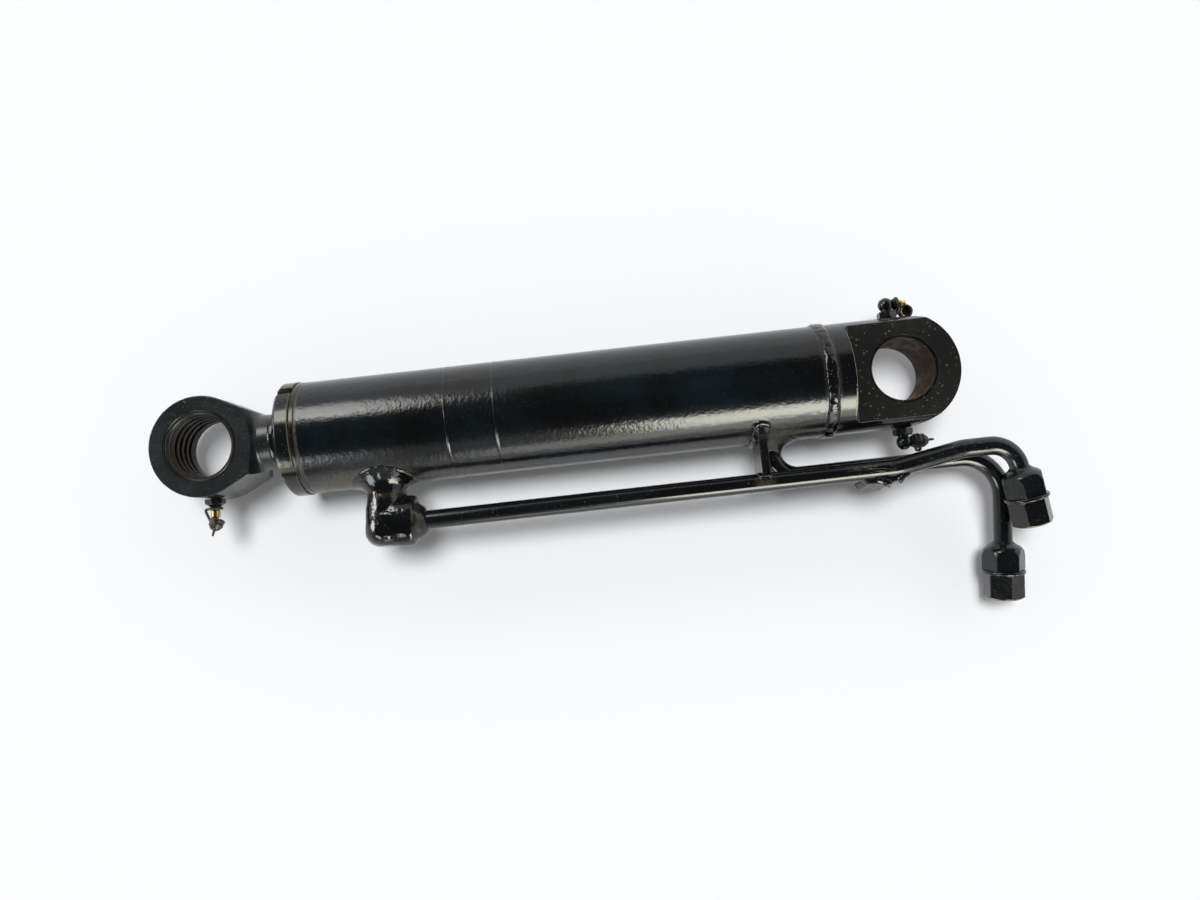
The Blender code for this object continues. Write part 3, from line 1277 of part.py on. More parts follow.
def rod_eye_grease_set(body):
    """The straight adaptor under the eye, its nipple, and the cap pulled half off it."""
    down = EYE_TAP_AXIS
    foot = Vector((EYE_X, 0.0, 0.0)) + down * (EYE_RADIUS + GAP)
    place = frame(foot, down)
    corner = turned_corner(ADAPTOR_HEX)
    stud = TAP_RADIUS - GAP
    reach = ADAPTOR_HEX_HEIGHT + LOOP_NECK_LENGTH
    section = [
        (-TAP_DEPTH + 2 * GAP, 0.0),
        (-TAP_DEPTH + 2 * GAP, stud),
        (GAP, stud),
        (GAP, corner),
        (ADAPTOR_HEX_HEIGHT * 0.6, corner),
        *loop_seat(reach),
    ]
    adaptor = turned("rod_eye_grease_adaptor", section, black_paint(), FINE_FACETS, place, body)
    keep_inside(adaptor, hexagon("adaptor_flats", ADAPTOR_HEX, -TAP_DEPTH * 2, reach * 2, place))
    tip = frame(foot + down * reach, down)
    grease_nipple("rod_eye_grease_nipple", tip, ADAPTOR_NIPPLE_RADIUS, ADAPTOR_NIPPLE_COLLAR, body)
    loop = foot + down * (reach - LOOP_NECK_LENGTH / 2)
    axis = Vector(HALF_CAP_AXIS).normalized()
    mouth = loop + Vector(HALF_CAP_OFFSET)
    cap_side = CAP_RADIUS - CAP_WALL / 2
    side = (-X_AXIS + axis * axis.dot(X_AXIS)).normalized()
    anchor = mouth + side * cap_side + axis * LOOP_WIDTH
    ring_middle = (LOOP_NECK_RADIUS + LOOP_RADIUS) / 2
    start = loop - X_AXIS * ring_middle
    strap = [start, start - X_AXIS * (LOOP_RADIUS - LOOP_NECK_RADIUS + STRAP_BULGE), anchor]
    grease_cap("rod_eye_grease_cap", frame(loop, down), frame(mouth, axis), strap, body)


def main():
    """Builds every piece under the empty of the body that it moves with."""
    clear_scene()
    barrel = body_empty("barrel")
    carrier = body_empty("piston_ring_carrier")
    rod = body_empty("rod")
    barrel_tube(barrel)
    base_end(barrel)
    base_weld_bead(barrel)
    base_bush(barrel)
    gland(barrel)
    gland_stop_ring(barrel)
    gland_inner_parts(barrel)
    gland_static_seals(barrel)
    gland_port_elbow(barrel)
    base_port_boss(barrel)
    pipes(barrel)
    pipe_bracket(barrel)
    pipe_tie_plate(barrel)
    pipe_fitting("long_pipe", long_pipe_route(), LONG_CONNECTOR_TURN, LONG_PLUG_TURN, barrel)
    pipe_fitting("short_pipe", short_pipe_route(), SHORT_CONNECTOR_TURN, SHORT_PLUG_TURN, barrel)
    base_grease_sets(barrel)
    piston_running_parts(carrier)
    piston(rod)
    piston_o_ring(rod)
    piston_nut(rod)
    piston_rod(rod)
    rod_eye(rod)
    rod_eye_weld_bead(rod)
    rod_eye_bush(rod)
    rod_eye_dust_seals(rod)
    rod_eye_grease_set(rod)


main()
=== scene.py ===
"""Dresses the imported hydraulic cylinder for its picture.

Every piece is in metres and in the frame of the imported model: X runs along the tube with the
rod eye at -X, Z is the direction of both pin bores and points up to the camera, and the pipes
are at -Y.
"""

import logging
import math
from dataclasses import dataclass
from enum import Enum
from typing import Any, Callable, Iterable, Sequence

import bmesh
import bpy
from mathutils import Matrix, Vector, noise


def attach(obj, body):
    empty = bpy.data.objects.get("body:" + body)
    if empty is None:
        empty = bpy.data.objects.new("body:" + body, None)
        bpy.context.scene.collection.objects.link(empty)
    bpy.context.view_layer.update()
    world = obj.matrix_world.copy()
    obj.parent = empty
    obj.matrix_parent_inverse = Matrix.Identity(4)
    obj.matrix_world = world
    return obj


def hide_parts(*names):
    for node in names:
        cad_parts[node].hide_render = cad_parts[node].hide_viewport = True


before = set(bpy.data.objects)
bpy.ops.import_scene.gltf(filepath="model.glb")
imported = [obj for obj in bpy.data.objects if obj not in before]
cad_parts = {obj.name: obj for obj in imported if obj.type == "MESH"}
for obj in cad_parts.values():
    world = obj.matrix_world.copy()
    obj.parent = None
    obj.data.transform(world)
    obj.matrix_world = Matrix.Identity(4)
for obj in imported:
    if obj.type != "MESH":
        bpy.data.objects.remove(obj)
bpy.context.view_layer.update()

LOG = logging.getLogger("cylinder")

Point = tuple[float, float]
Point3 = tuple[float, float, float]
Colour = tuple[float, float, float]
Outline = list[Point]

MERGE = 1e-6
TINY = 1e-9
LARGE_ROUND = 128
SMALL_ROUND = 48
SMOOTH_ANGLE = math.radians(40)
BEVEL_ANGLE = math.radians(28)

X_AXIS = Vector((1.0, 0.0, 0.0))
Y_AXIS = Vector((0.0, 1.0, 0.0))
Z_AXIS = Vector((0.0, 0.0, 1.0))


class Body(Enum):
    """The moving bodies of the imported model."""

    BARREL = "barrel"
    CARRIER = "piston_ring_carrier"
    ROD = "rod"


class Slot(Enum):
    """The record's material slots."""

    BLACK_PAINT = "black_paint"
    CHROME = "chrome"
    MACHINED_STEEL = "machined_steel"
    BUSH_STEEL = "bush_steel"
    BLACK_IRON = "black_iron"
    BRASS = "brass"
    BRONZE = "bronze"
    RUBBER = "rubber"
    SEAL_PLASTIC = "seal_plastic"
    WEAR_PLASTIC = "wear_plastic"


class Tool(Enum):
    """What a tool shape does to the shape that it meets."""

    CUT = "DIFFERENCE"
    JOIN = "UNION"
    KEEP = "INTERSECT"


# Shader graphs


class Number:
    """A number that varies over a surface. Python's operators on it add Math nodes."""

    def __init__(self, graph: "Graph", socket: bpy.types.NodeSocket) -> None:
        """Wraps an output socket of the graph."""
        self.graph = graph
        self.socket = socket

    def _math(self, operation: str, first: Any, second: Any) -> "Number":
        """The result of one Math node on two values."""
        node = self.graph.node("ShaderNodeMath", {"operation": operation}, {0: first, 1: second})
        return Number(self.graph, node.outputs[0])

    def __add__(self, other: Any) -> "Number":
        """Adds a number."""
        return self._math("ADD", self, other)

    def __radd__(self, other: Any) -> "Number":
        """Adds to a plain number."""
        return self._math("ADD", other, self)

    def __sub__(self, other: Any) -> "Number":
        """Subtracts a number."""
        return self._math("SUBTRACT", self, other)

    def __rsub__(self, other: Any) -> "Number":
        """Is subtracted from a plain number."""
        return self._math("SUBTRACT", other, self)

    def __mul__(self, other: Any) -> "Number":
        """Multiplies by a number."""
        return self._math("MULTIPLY", self, other)

    def __rmul__(self, other: Any) -> "Number":
        """Multiplies a plain number."""
        return self._math("MULTIPLY", other, self)

    def most(self, other: Any) -> "Number":
        """The larger of this and another number."""
        return self._math("MAXIMUM", self, other)

    def size(self) -> "Number":
        """The number without its sign."""
        return self._math("ABSOLUTE", self, 0.0)

    def ramp(self, low: float, high: float) -> "Number":
        """Rises smoothly from 0 at low to 1 at high, or falls where low is the larger."""
        flipped = low > high
        ends = {1: min(low, high), 2: max(low, high), 3: float(flipped), 4: float(not flipped)}
        node = self.graph.node(
            "ShaderNodeMapRange", {"interpolation_type": "SMOOTHSTEP"}, {0: self, **ends}
        )
        return Number(self.graph, node.outputs[0])


@dataclass(frozen=True)
class Spot:
    """A place on the object where something has settled or worn, as an ellipsoid.

    A radius far larger than the object makes it a band.
    """

    centre: Point3
    radii: Point3
    strength: float = 1.0


class Graph:
    """The node graph of a material, on Object coordinates, or of the world."""

    def __init__(self, name: str, world: bpy.types.World | None = None) -> None:
        """Makes the material, or takes the world."""
        self.material = world or bpy.data.materials.new(name)
        self.material.use_nodes = True
        self.tree = self.material.node_tree
        self.shader = self.tree.nodes["Background" if world else "Principled BSDF"]
        self.place = self.node("ShaderNodeTexCoord", {}, {}).outputs["Generated" if world else "Object"]

    def node(self, kind: str, settings: dict[str, Any], sockets: dict[Any, Any]) -> bpy.types.Node:
        """Adds one node.

        Args:
            kind: The node's type.
            settings: Its properties, set first. The key "stops" holds a ramp's (place, colour).
            sockets: What each input gets, a value or a link, by name or index.

        Returns:
            The new node.
        """
        made = self.tree.nodes.new(kind)
        for key, value in settings.items():
            if key == "stops":
                while len(made.color_ramp.elements) < len(value):
                    made.color_ramp.elements.new(1.0)
                for element, (place, colour) in zip(made.color_ramp.elements, value):
                    element.position = place
                    element.color = (*colour, 1.0)
            else:
                setattr(made, key, value)
        for key, value in sockets.items():
            self.feed(made.inputs[key], value)
        return made

    def feed(self, socket: bpy.types.NodeSocket, value: Any) -> None:
        """Links or sets one input socket."""
        if isinstance(value, Number):
            self.tree.links.new(value.socket, socket)
        elif isinstance(value, bpy.types.NodeSocket):
            self.tree.links.new(value, socket)
        elif isinstance(value, tuple) and socket.type == "RGBA":
            socket.default_value = (*value, 1.0)
        else:
            socket.default_value = value

    def stretched(self, scale: Point3, shift: Point3 = (0.0, 0.0, 0.0)) -> bpy.types.NodeSocket:
        """Object coordinates, scaled apart along the three axes."""
        settings = {"vector_type": "POINT"}
        node = self.node("ShaderNodeMapping", settings, {0: self.place, 1: shift, 3: scale})
        return node.outputs[0]

    def noise(
        self, scale: float, detail: float = 2.0, roughness: float = 0.5, place: Any = None
    ) -> Number:
        """Soft noise from 0 to 1, with its scale in cells to the metre."""
        sockets = {
            "Vector": self.place if place is None else place,
            "Scale": scale,
            "Detail": detail,
            "Roughness": roughness,
        }
        return Number(self, self.node("ShaderNodeTexNoise", {}, sockets).outputs[0])

    def along(self, axis: int) -> Number:
        """One of the three coordinates."""
        return Number(self, self.node("ShaderNodeSeparateXYZ", {}, {0: self.place}).outputs[axis])

    def cells(self, scale: float, place: Any = None) -> Number:
        """The distance to the nearest of scattered points, in cells."""
        sockets = {"Vector": self.place if place is None else place, "Scale": scale}
        return Number(self, self.node("ShaderNodeTexVoronoi", {}, sockets).outputs["Distance"])

    def spot(self, spot: Spot) -> Number:
        """1 in the middle of a spot, 0 outside it."""
        away = self.node("ShaderNodeVectorMath", {"operation": "SUBTRACT"}, {0: self.place, 1: spot.centre})
        share = self.node(
            "ShaderNodeVectorMath", {"operation": "DIVIDE"}, {0: away.outputs[0], 1: spot.radii}
        )
        length = self.node("ShaderNodeVectorMath", {"operation": "LENGTH"}, {0: share.outputs[0]})
        return Number(self, length.outputs["Value"]).ramp(1.0, 0.2) * spot.strength

    def spots(self, spots: Iterable[Spot]) -> Number | float:
        """The strongest of several spots at each place, or 0 where there is none."""
        total: Number | float = 0.0
        for spot in spots:
            mask = self.spot(spot)
            total = mask.most(total)
        return total

    def blend(self, mask: Any, first: Any, second: Any) -> bpy.types.NodeSocket:
        """A colour between two others."""
        node = self.node("ShaderNodeMix", {"data_type": "RGBA"}, {0: mask, 6: first, 7: second})
        return node.outputs[2]

    def bump(self, height: Number) -> bpy.types.NodeSocket:
        """A normal from a height in metres."""
        return self.node("ShaderNodeBump", {}, {"Strength": 1.0, "Distance": 1.0, "Height": height}).outputs[0]

    def dress(self, sockets: dict[str, Any]) -> bpy.types.Material:
        """Feeds the Principled shader's sockets, by name, and returns the material."""
        for name, value in sockets.items():
            self.feed(self.shader.inputs[name], value)
        return self.material


DUST = (0.105, 0.085, 0.052)
PRIMER = (0.46, 0.40, 0.24)
RUST = (0.075, 0.040, 0.018)


class Finish:
    """A surface that is made once and shared by the pieces that have it."""

    made: dict[Any, bpy.types.Material] = {}

    def material(self) -> bpy.types.Material:
        """The finish's material."""
        if self not in Finish.made:
            Finish.made[self] = self.build(Graph(self.name))
        return Finish.made[self]


@dataclass(frozen=True)
class Paint(Finish):
    """Gloss black paint over steel: orange peel, a blue cast, dust in corners, chips.

    Heights are in metres. The film is the share of an even veil of fine dust.
    """

    name: str
    colour: Colour = (0.0026, 0.0030, 0.0034)
    cast: Colour = (0.0040, 0.0060, 0.0075)
    roughness: float = 0.17
    peel: float = 0.00005
    peel_scale: float = 420.0
    waves: float = 0.0
    wave_scale: float = 90.0
    specks: float = 0.25
    speck_scale: float = 340.0
    film: float = 0.02
    dust: tuple[Spot, ...] = ()
    grain: float = 0.75
    chips: tuple[Spot, ...] = ()
    chip_scale: float = 380.0
    scratches: tuple[Spot, ...] = ()
    marks: Point3 = (50.0, 800.0, 800.0)
    shine: float = 0.5
    slot = Slot.BLACK_PAINT

    def build(self, graph: Graph) -> bpy.types.Material:
        """Lays the paint, then the dust, the specks and the chips."""
        cloud = graph.noise(14.0, 4.0, 0.6)
        fine = graph.noise(260.0, 3.0, 0.6)
        grain = graph.noise(self.peel_scale, 2.0, 0.5)
        colour = graph.blend(cloud.ramp(0.38, 0.68), self.colour, self.cast)
        veil = cloud.ramp(0.3, 0.75) * fine.ramp(0.35, 0.75) * self.film
        colour = graph.blend(veil, colour, DUST)
        grit = graph.noise(560.0, 4.0, 0.75).ramp(0.36, 0.66) * self.grain + (1.0 - self.grain)
        settled = graph.spots(self.dust) * grit
        speck_place = graph.cells(self.speck_scale)
        speck = speck_place.ramp(0.22, 0.06) * fine.ramp(0.46, 0.58) * (settled * 0.7 + self.specks)
        colour = graph.blend(speck, colour, (0.36, 0.34, 0.30))
        rough = self.roughness + (cloud - 0.5) * 0.10 + (fine - 0.5) * 0.06 + veil * 0.4 + speck * 0.3
        height = grain * self.peel + graph.noise(150.0, 2.0) * (self.peel * 1.3)
        if self.waves > 0.0:
            height = height + graph.noise(self.wave_scale, 2.0, 0.5) * self.waves
        colour = graph.blend(settled, colour, DUST)
        rough = rough + settled * 0.45
        if self.scratches:
            field = graph.noise(1.0, 2.0, 0.5, graph.stretched(self.marks))
            line = (field - 0.5).size().ramp(0.016, 0.005) * graph.spots(self.scratches)
            colour = graph.blend(line, colour, (0.40, 0.38, 0.32))
            rough = rough + line * 0.3
        if self.chips:
            broken = graph.noise(self.chip_scale, 5.0, 0.7)
            chipped = (graph.spots(self.chips) + (broken - 0.5) * 1.6).ramp(0.50, 0.62)
            colour = graph.blend(chipped, colour, PRIMER)
            rough = rough + chipped * 0.35
            height = height - chipped * 0.00008
        graph.dress({"Specular IOR Level": self.shine, "Normal": graph.bump(height)})
        return graph.dress({"Base Color": colour, "Roughness": rough})


@dataclass(frozen=True)
class EdgeWearAndHighlight(Finish):
    """The narrow rounded edges of painted pieces, where the paint is thin and knocked off in places. With a large
    share the pale runs join into a line all along the edge, which is a painted highlight.
    """

    name: str
    colour: Colour = (0.010, 0.011, 0.012)
    pale_colour: Colour = (0.40, 0.35, 0.22)
    share: float = 0.5
    slot = Slot.BLACK_PAINT

    def build(self, graph: Graph) -> bpy.types.Material:
        """Breaks the paint along the edge in runs of uneven length; with a large share nearly the whole edge turns
        pale, a painted highlight.
        """
        runs = graph.noise(120.0, 4.0, 0.7)
        grain = graph.noise(900.0, 2.0)
        low = 0.72 - 0.22 * self.share
        pale_runs = (runs + (grain - 0.5) * 0.25).ramp(low, low + 0.05)
        colour = graph.blend(pale_runs, self.colour, self.pale_colour)
        rough = 0.22 + pale_runs * 0.3
        height = grain * 0.00002 - pale_runs * 0.00004
        return graph.dress({"Base Color": colour, "Roughness": rough, "Normal": graph.bump(height)})


@dataclass(frozen=True)
class Metal(Finish):
    """Bare metal with machining marks, stains and rust, its marks finer along one axis."""

    name: str
    slot: Slot
    colour: Colour
    tint: Colour
    roughness: float = 0.3
    metallic: float = 1.0
    marks: Point3 = (900.0, 12.0, 12.0)
    mark_height: float = 0.000004
    rust: float = 0.0
    oil: float = 0.0
    shine: float = 0.5

    def build(self, graph: Graph) -> bpy.types.Material:
        """Lays the metal with its marks, then the stains."""
        cloud = graph.noise(60.0, 4.0, 0.6)
        lines = graph.noise(1.0, 3.0, 0.6, graph.stretched(self.marks))
        colour = graph.blend(cloud.ramp(0.35, 0.7), self.colour, self.tint)
        rough = self.roughness + (lines - 0.5) * 0.14 + (cloud - 0.5) * 0.10
        metallic: Any = self.metallic
        height = lines * self.mark_height
        if self.rust > 0.0:
            blotch = graph.noise(130.0, 5.0, 0.7)
            rusty = (blotch + cloud * 0.5).ramp(1.0 - 0.55 * self.rust, 1.12 - 0.45 * self.rust)
            colour = graph.blend(rusty, colour, RUST)
            rough = rough + rusty * 0.25
            metallic = self.metallic * (1.0 - rusty * 0.8)
            height = height + rusty * blotch * 0.00006
        if self.oil > 0.0:
            wet = graph.noise(35.0, 3.0).ramp(0.42, 0.62) * self.oil
            rough = rough - wet * 0.18
        graph.dress({"Specular IOR Level": self.shine, "Normal": graph.bump(height)})
        return graph.dress({"Base Color": colour, "Roughness": rough, "Metallic": metallic})


@dataclass(frozen=True)
class Moulding(Finish):
    """Rubber or plastic with a fine moulded grain and pale dust on it."""

    name: str
    slot: Slot
    colour: Colour
    dusty: Colour
    roughness: float = 0.55
    grain: float = 0.00003
    dust: float = 0.25
    shine: float = 0.5

    def build(self, graph: Graph) -> bpy.types.Material:
        """Lays the colour with its grain and dust."""
        cloud = graph.noise(180.0, 4.0, 0.65)
        fine = graph.noise(1100.0, 2.0)
        colour = graph.blend(cloud.ramp(0.42, 0.72) * self.dust, self.colour, self.dusty)
        rough = self.roughness + (cloud - 0.5) * 0.25 + (fine - 0.5) * 0.08
        graph.dress({"Specular IOR Level": self.shine, "Normal": graph.bump(fine * self.grain)})
        return graph.dress({"Base Color": colour, "Roughness": rough})


RUBBER = Moulding("rubber_brown_black", Slot.RUBBER, (0.016, 0.013, 0.011), (0.075, 0.058, 0.040), 0.42)
CAP_RUBBER = Moulding(
    "cap_rubber", Slot.RUBBER, (0.014, 0.012, 0.010), (0.085, 0.066, 0.042), 0.36, 0.00002, 0.45
)
SEAL_LIP = Moulding(
    "dust_seal_rubber", Slot.RUBBER, (0.006, 0.005, 0.004), (0.034, 0.026, 0.015), 0.30, 0.00001, 0.5, 0.25
)
CHROME = Metal(
    "chrome_rod", Slot.CHROME, (0.56, 0.57, 0.59), (0.50, 0.51, 0.53), 0.10, marks=(500.0, 60.0, 60.0),
    mark_height=0.0000006, oil=0.2,
)
TURNED_STEEL = Metal(
    "turned_steel", Slot.MACHINED_STEEL, (0.34, 0.33, 0.32), (0.25, 0.24, 0.23), 0.36, rust=0.15, oil=0.4
)
BUSH_BORE = Metal(
    "bush_bore", Slot.BUSH_STEEL, (0.062, 0.034, 0.014), (0.020, 0.012, 0.006), 0.44, 0.0,
    marks=(14.0, 14.0, 700.0), mark_height=0.000006, rust=0.7, oil=0.4, shine=0.12,
)
EYE_BORE = Metal(
    "eye_bush_bore", Slot.BUSH_STEEL, (0.024, 0.014, 0.007), (0.008, 0.005, 0.003), 0.30, 0.0,
    marks=(14.0, 14.0, 300.0), mark_height=0.000012, rust=0.4, oil=0.6, shine=0.10,
)
BUSH_END = Paint("bush_end_paint", roughness=0.3, specks=0.6, film=0.08)
BRASS = Metal(
    "brass_nipple", Slot.BRASS, (0.62, 0.47, 0.17), (0.48, 0.36, 0.15), 0.24, marks=(600.0, 600.0, 60.0)
)
BRONZE = Metal("bronze_bush", Slot.BRONZE, (0.44, 0.28, 0.13), (0.33, 0.20, 0.09), 0.38, oil=0.5)
IRON = Metal("phosphated_iron", Slot.BLACK_IRON, (0.050, 0.050, 0.055), (0.033, 0.034, 0.038), 0.46, 0.4, oil=0.6)
SEAL_BLUE = Moulding("seal_plastic_blue", Slot.SEAL_PLASTIC, (0.10, 0.16, 0.20), (0.16, 0.20, 0.22), 0.42)
WEAR_BROWN = Moulding("wear_plastic_brown", Slot.WEAR_PLASTIC, (0.28, 0.13, 0.07), (0.20, 0.10, 0.06), 0.55)
EDGE = EdgeWearAndHighlight("worn_paint_edge")
CHIPPED_EDGE = EdgeWearAndHighlight("chipped_paint_edge", share=1.05)
# A pale line nearly all along the lug's step edge: a painted highlight, partly worn paint.
STEP_HIGHLIGHT = EdgeWearAndHighlight("step_edge_highlight", pale_colour=(0.44, 0.42, 0.38), share=2.2)
FAR = 9.0


# Shapes


def eased(outline: Outline, radius: float, steps: int = 3) -> Outline:
    """Rounds the corners of a section.

    Args:
        outline: (along, radius) points. It closes on itself unless it starts on the axis.
        radius: The size of the rounding, made smaller where a side is short.
        steps: The number of facets in each rounded corner.

    Returns:
        The rounded outline.
    """
    count = len(outline)
    ring = outline[0][1] > MERGE
    points: Outline = []
    for index, corner in enumerate(outline):
        if not ring and index in (0, count - 1):
            points.append(corner)
            continue
        here = Vector(corner)
        back = Vector(outline[index - 1]) - here
        ahead = Vector(outline[(index + 1) % count]) - here
        if back.length < MERGE or ahead.length < MERGE:
            points.append(corner)
            continue
        first = here + back.normalized() * min(radius, back.length * 0.45)
        last = here + ahead.normalized() * min(radius, ahead.length * 0.45)
        for step in range(steps + 1):
            t = step / steps
            points.append(tuple(first * (1 - t) ** 2 + here * (2 * t * (1 - t)) + last * t**2))
    return points


def arc(centre: Point, radius: float, start: float, end: float, steps: int) -> Outline:
    """Points on an arc, ends included, with the angles in radians."""
    angles = [start + (end - start) * step / steps for step in range(steps + 1)]
    return [(centre[0] + radius * math.cos(a), centre[1] + radius * math.sin(a)) for a in angles]


def facing(origin: Any, axis: Any, side: Any = Z_AXIS) -> Matrix:
    """A placement whose local X is the axis and whose local Z leans to the side."""
    along = Vector(axis).normalized()
    across = Vector(side).cross(along).normalized()
    up = along.cross(across)
    return Matrix.Translation(origin) @ Matrix((along, across, up)).transposed().to_4x4()


def port_frame(x: float, turn: float) -> Matrix:
    """Local X points out of the tube through a port, local Y along the tube, local Z round it."""
    outward = Vector((0.0, -math.cos(turn), math.sin(turn)))
    around = outward.cross(X_AXIS)
    return Matrix.Translation((x, 0.0, 0.0)) @ Matrix((outward, X_AXIS, around)).transposed().to_4x4()


def bent(corners: Sequence[Vector], bends: Sequence[float], step: float = 0.0025) -> list[Vector]:
    """A route of straight runs and round bends, as points a step apart.

    Args:
        corners: The ends and the corners of the route.
        bends: The radius at each corner between the ends.
        step: The distance between points, in metres.

    Returns:
        The points.
    """
    marks = [corners[0]]
    for before, corner, after, radius in zip(corners, corners[1:], corners[2:], bends):
        incoming = (corner - before).normalized()
        outgoing = (after - corner).normalized()
        angle = incoming.angle(outgoing)
        first = corner - incoming * radius * math.tan(angle / 2)
        inward = (outgoing - incoming * incoming.dot(outgoing)).normalized()
        centre = first + inward * radius
        count = max(3, math.ceil(angle * radius / step))
        for number in range(count + 1):
            turn = angle * number / count
            marks.append(centre - inward * radius * math.cos(turn) + incoming * radius * math.sin(turn))
    marks.append(corners[-1])
    points = [marks[0]]
    for start, end in zip(marks, marks[1:]):
        count = max(1, round((end - start).length / (3 * step)))
        points += [start.lerp(end, number / count) for number in range(1, count + 1)]
    return points


class Form:
    """A shape in the making, which tools cut and join before it becomes a piece."""

    def __init__(self, mesh: bmesh.types.BMesh, place: Matrix | None = None) -> None:
        """Takes the shape from a bmesh and puts it in its place."""
        bmesh.ops.remove_doubles(mesh, verts=mesh.verts[:], dist=MERGE)
        bmesh.ops.recalc_face_normals(mesh, faces=mesh.faces[:])
        data = bpy.data.meshes.new("form")
        mesh.to_mesh(data)
        mesh.free()
        if place is not None:
            data.transform(place)
        self.object = bpy.data.objects.new("form", data)
        bpy.context.scene.collection.objects.link(self.object)

    @staticmethod
    def _span(mesh: bmesh.types.BMesh, first: list[Any], second: list[Any]) -> None:
        """Faces between two loops, either of which may be a single point."""
        count = max(len(first), len(second))
        for step in range(count):
            after = (step + 1) % count
            corners = [first[step % len(first)], first[after % len(first)]]
            corners += [second[after % len(second)], second[step % len(second)]]
            mesh.faces.new(list(dict.fromkeys(corners)))

    @classmethod
    def turned(cls, outline: Outline, place: Matrix | None = None, facets: int = LARGE_ROUND) -> "Form":
        """A body of revolution about local X."""
        mesh = bmesh.new()
        loops = []
        for along, radius in outline:
            if radius < MERGE:
                loops.append([mesh.verts.new((along, 0.0, 0.0))])
                continue
            angles = [2 * math.pi * step / facets for step in range(facets)]
            loops.append([mesh.verts.new((along, radius * math.sin(a), radius * math.cos(a))) for a in angles])
        if len(loops[0]) > 1:
            loops.append(loops[0])
        for first, second in zip(loops, loops[1:]):
            if len(first) > 1 or len(second) > 1:
                cls._span(mesh, first, second)
        return cls(mesh, place)

    @classmethod
    def lofted(cls, sections: Sequence[Sequence[Vector]], place: Matrix | None = None) -> "Form":
        """A skin over loops of as many points each, closed at both ends."""
        mesh = bmesh.new()
        loops = [[mesh.verts.new(point) for point in section] for section in sections]
        for first, second in zip(loops, loops[1:]):
            cls._span(mesh, first, second)
        for end in (loops[0], loops[-1]):
            middle = mesh.verts.new(sum((corner.co for corner in end), Vector()) / len(end))
            cls._span(mesh, end, [middle])
        return cls(mesh, place)

    @classmethod
    def prism(cls, outline: Outline, low: float, high: float, place: Matrix | None = None) -> "Form":
        """An outline in local X and Y, raised from low to high along local Z."""
        mesh = bmesh.new()
        base = mesh.faces.new([mesh.verts.new((x, y, low)) for x, y in outline])
        raised = bmesh.ops.extrude_face_region(mesh, geom=[base])
        corners = [item for item in raised["geom"] if isinstance(item, bmesh.types.BMVert)]
        bmesh.ops.translate(mesh, verts=corners, vec=(0.0, 0.0, high - low))
        return cls(mesh, place)

    @classmethod
    def hexagon(cls, across: float, start: float, end: float, place: Matrix) -> "Form":
        """A hexagonal bar along local X."""
        radius = across / math.sqrt(3)
        corners = [(radius * math.sin(a * math.pi / 3), radius * math.cos(a * math.pi / 3)) for a in range(6)]
        upright = Matrix(((0, 0, 1, 0), (1, 0, 0, 0), (0, 1, 0, 0), (0, 0, 0, 1)))
        return cls.prism(corners, start, end, place @ upright)

    @classmethod
    def rod(cls, start: float, end: float, radius: float, place: Matrix | None = None) -> "Form":
        """A plain solid rod along local X, mostly a drill."""
        outline = [(start, 0.0), (start, radius), (end, radius), (end, 0.0)]
        return cls.turned(outline, place, SMALL_ROUND if radius < 0.02 else LARGE_ROUND)

    def _settle(self) -> "Form":
        """Makes the modifiers part of the mesh."""
        graph = bpy.context.evaluated_depsgraph_get()
        made = bpy.data.meshes.new_from_object(self.object.evaluated_get(graph), depsgraph=graph)
        old = self.object.data
        self.object.modifiers.clear()
        self.object.data = made
        bpy.data.meshes.remove(old)
        return self

    def _modify(self, kind: str, **settings: Any) -> "Form":
        """Adds one modifier and makes it part of the mesh."""
        modifier = self.object.modifiers.new(kind.lower(), kind)
        for key, value in settings.items():
            setattr(modifier, key, value)
        return self._settle()

    def shaped(self, action: Tool, *tools: "Form") -> "Form":
        """Cuts, joins or keeps with tool shapes, which are used up."""
        for tool in tools:
            self._modify("BOOLEAN", operation=action.value, solver="EXACT", object=tool.object)
            tool.discard()
        return self

    def cut(self, *tools: "Form") -> "Form":
        """Takes the tools out of the shape."""
        return self.shaped(Tool.CUT, *tools)

    def join(self, *tools: "Form") -> "Form":
        """Adds the tools to the shape."""
        return self.shaped(Tool.JOIN, *tools)

    def keep(self, *tools: "Form") -> "Form":
        """Keeps what lies inside the tools."""
        return self.shaped(Tool.KEEP, *tools)

    def discard(self) -> None:
        """Removes the shape."""
        data = self.object.data
        bpy.data.objects.remove(self.object)
        bpy.data.meshes.remove(data)

    def rounded(self, width: float, segments: int = 3, angle: float = BEVEL_ANGLE) -> "Form":
        """Rounds the sharp edges. The rounded faces take the piece's second finish."""
        while len(self.object.data.materials) < 2:
            self.object.data.materials.append(None)
        return self._modify(
            "BEVEL", width=width, segments=segments, limit_method="ANGLE", angle_limit=angle, material=1
        )

    def cast(self, voxel: float, rounds: int, *others: "Form") -> "Form":
        """Fuses the shape with others into one skin and softens it, as a casting or moulding is."""
        mesh = bmesh.new()
        for form in (self, *others):
            mesh.from_mesh(form.object.data)
        mesh.to_mesh(self.object.data)
        mesh.free()
        for form in others:
            form.discard()
        self._modify("REMESH", mode="VOXEL", voxel_size=voxel)
        return self._modify("SMOOTH", factor=0.5, iterations=rounds)

    def lumped(self, height: float, scale: float) -> "Form":
        """Moves the surface in and out by soft noise, with its scale in lumps to the metre."""
        data = self.object.data
        normals = [vertex.normal.copy() for vertex in data.vertices]
        for vertex, normal in zip(data.vertices, normals):
            vertex.co += normal * (noise.noise(vertex.co * scale) * height)
        data.update()
        return self

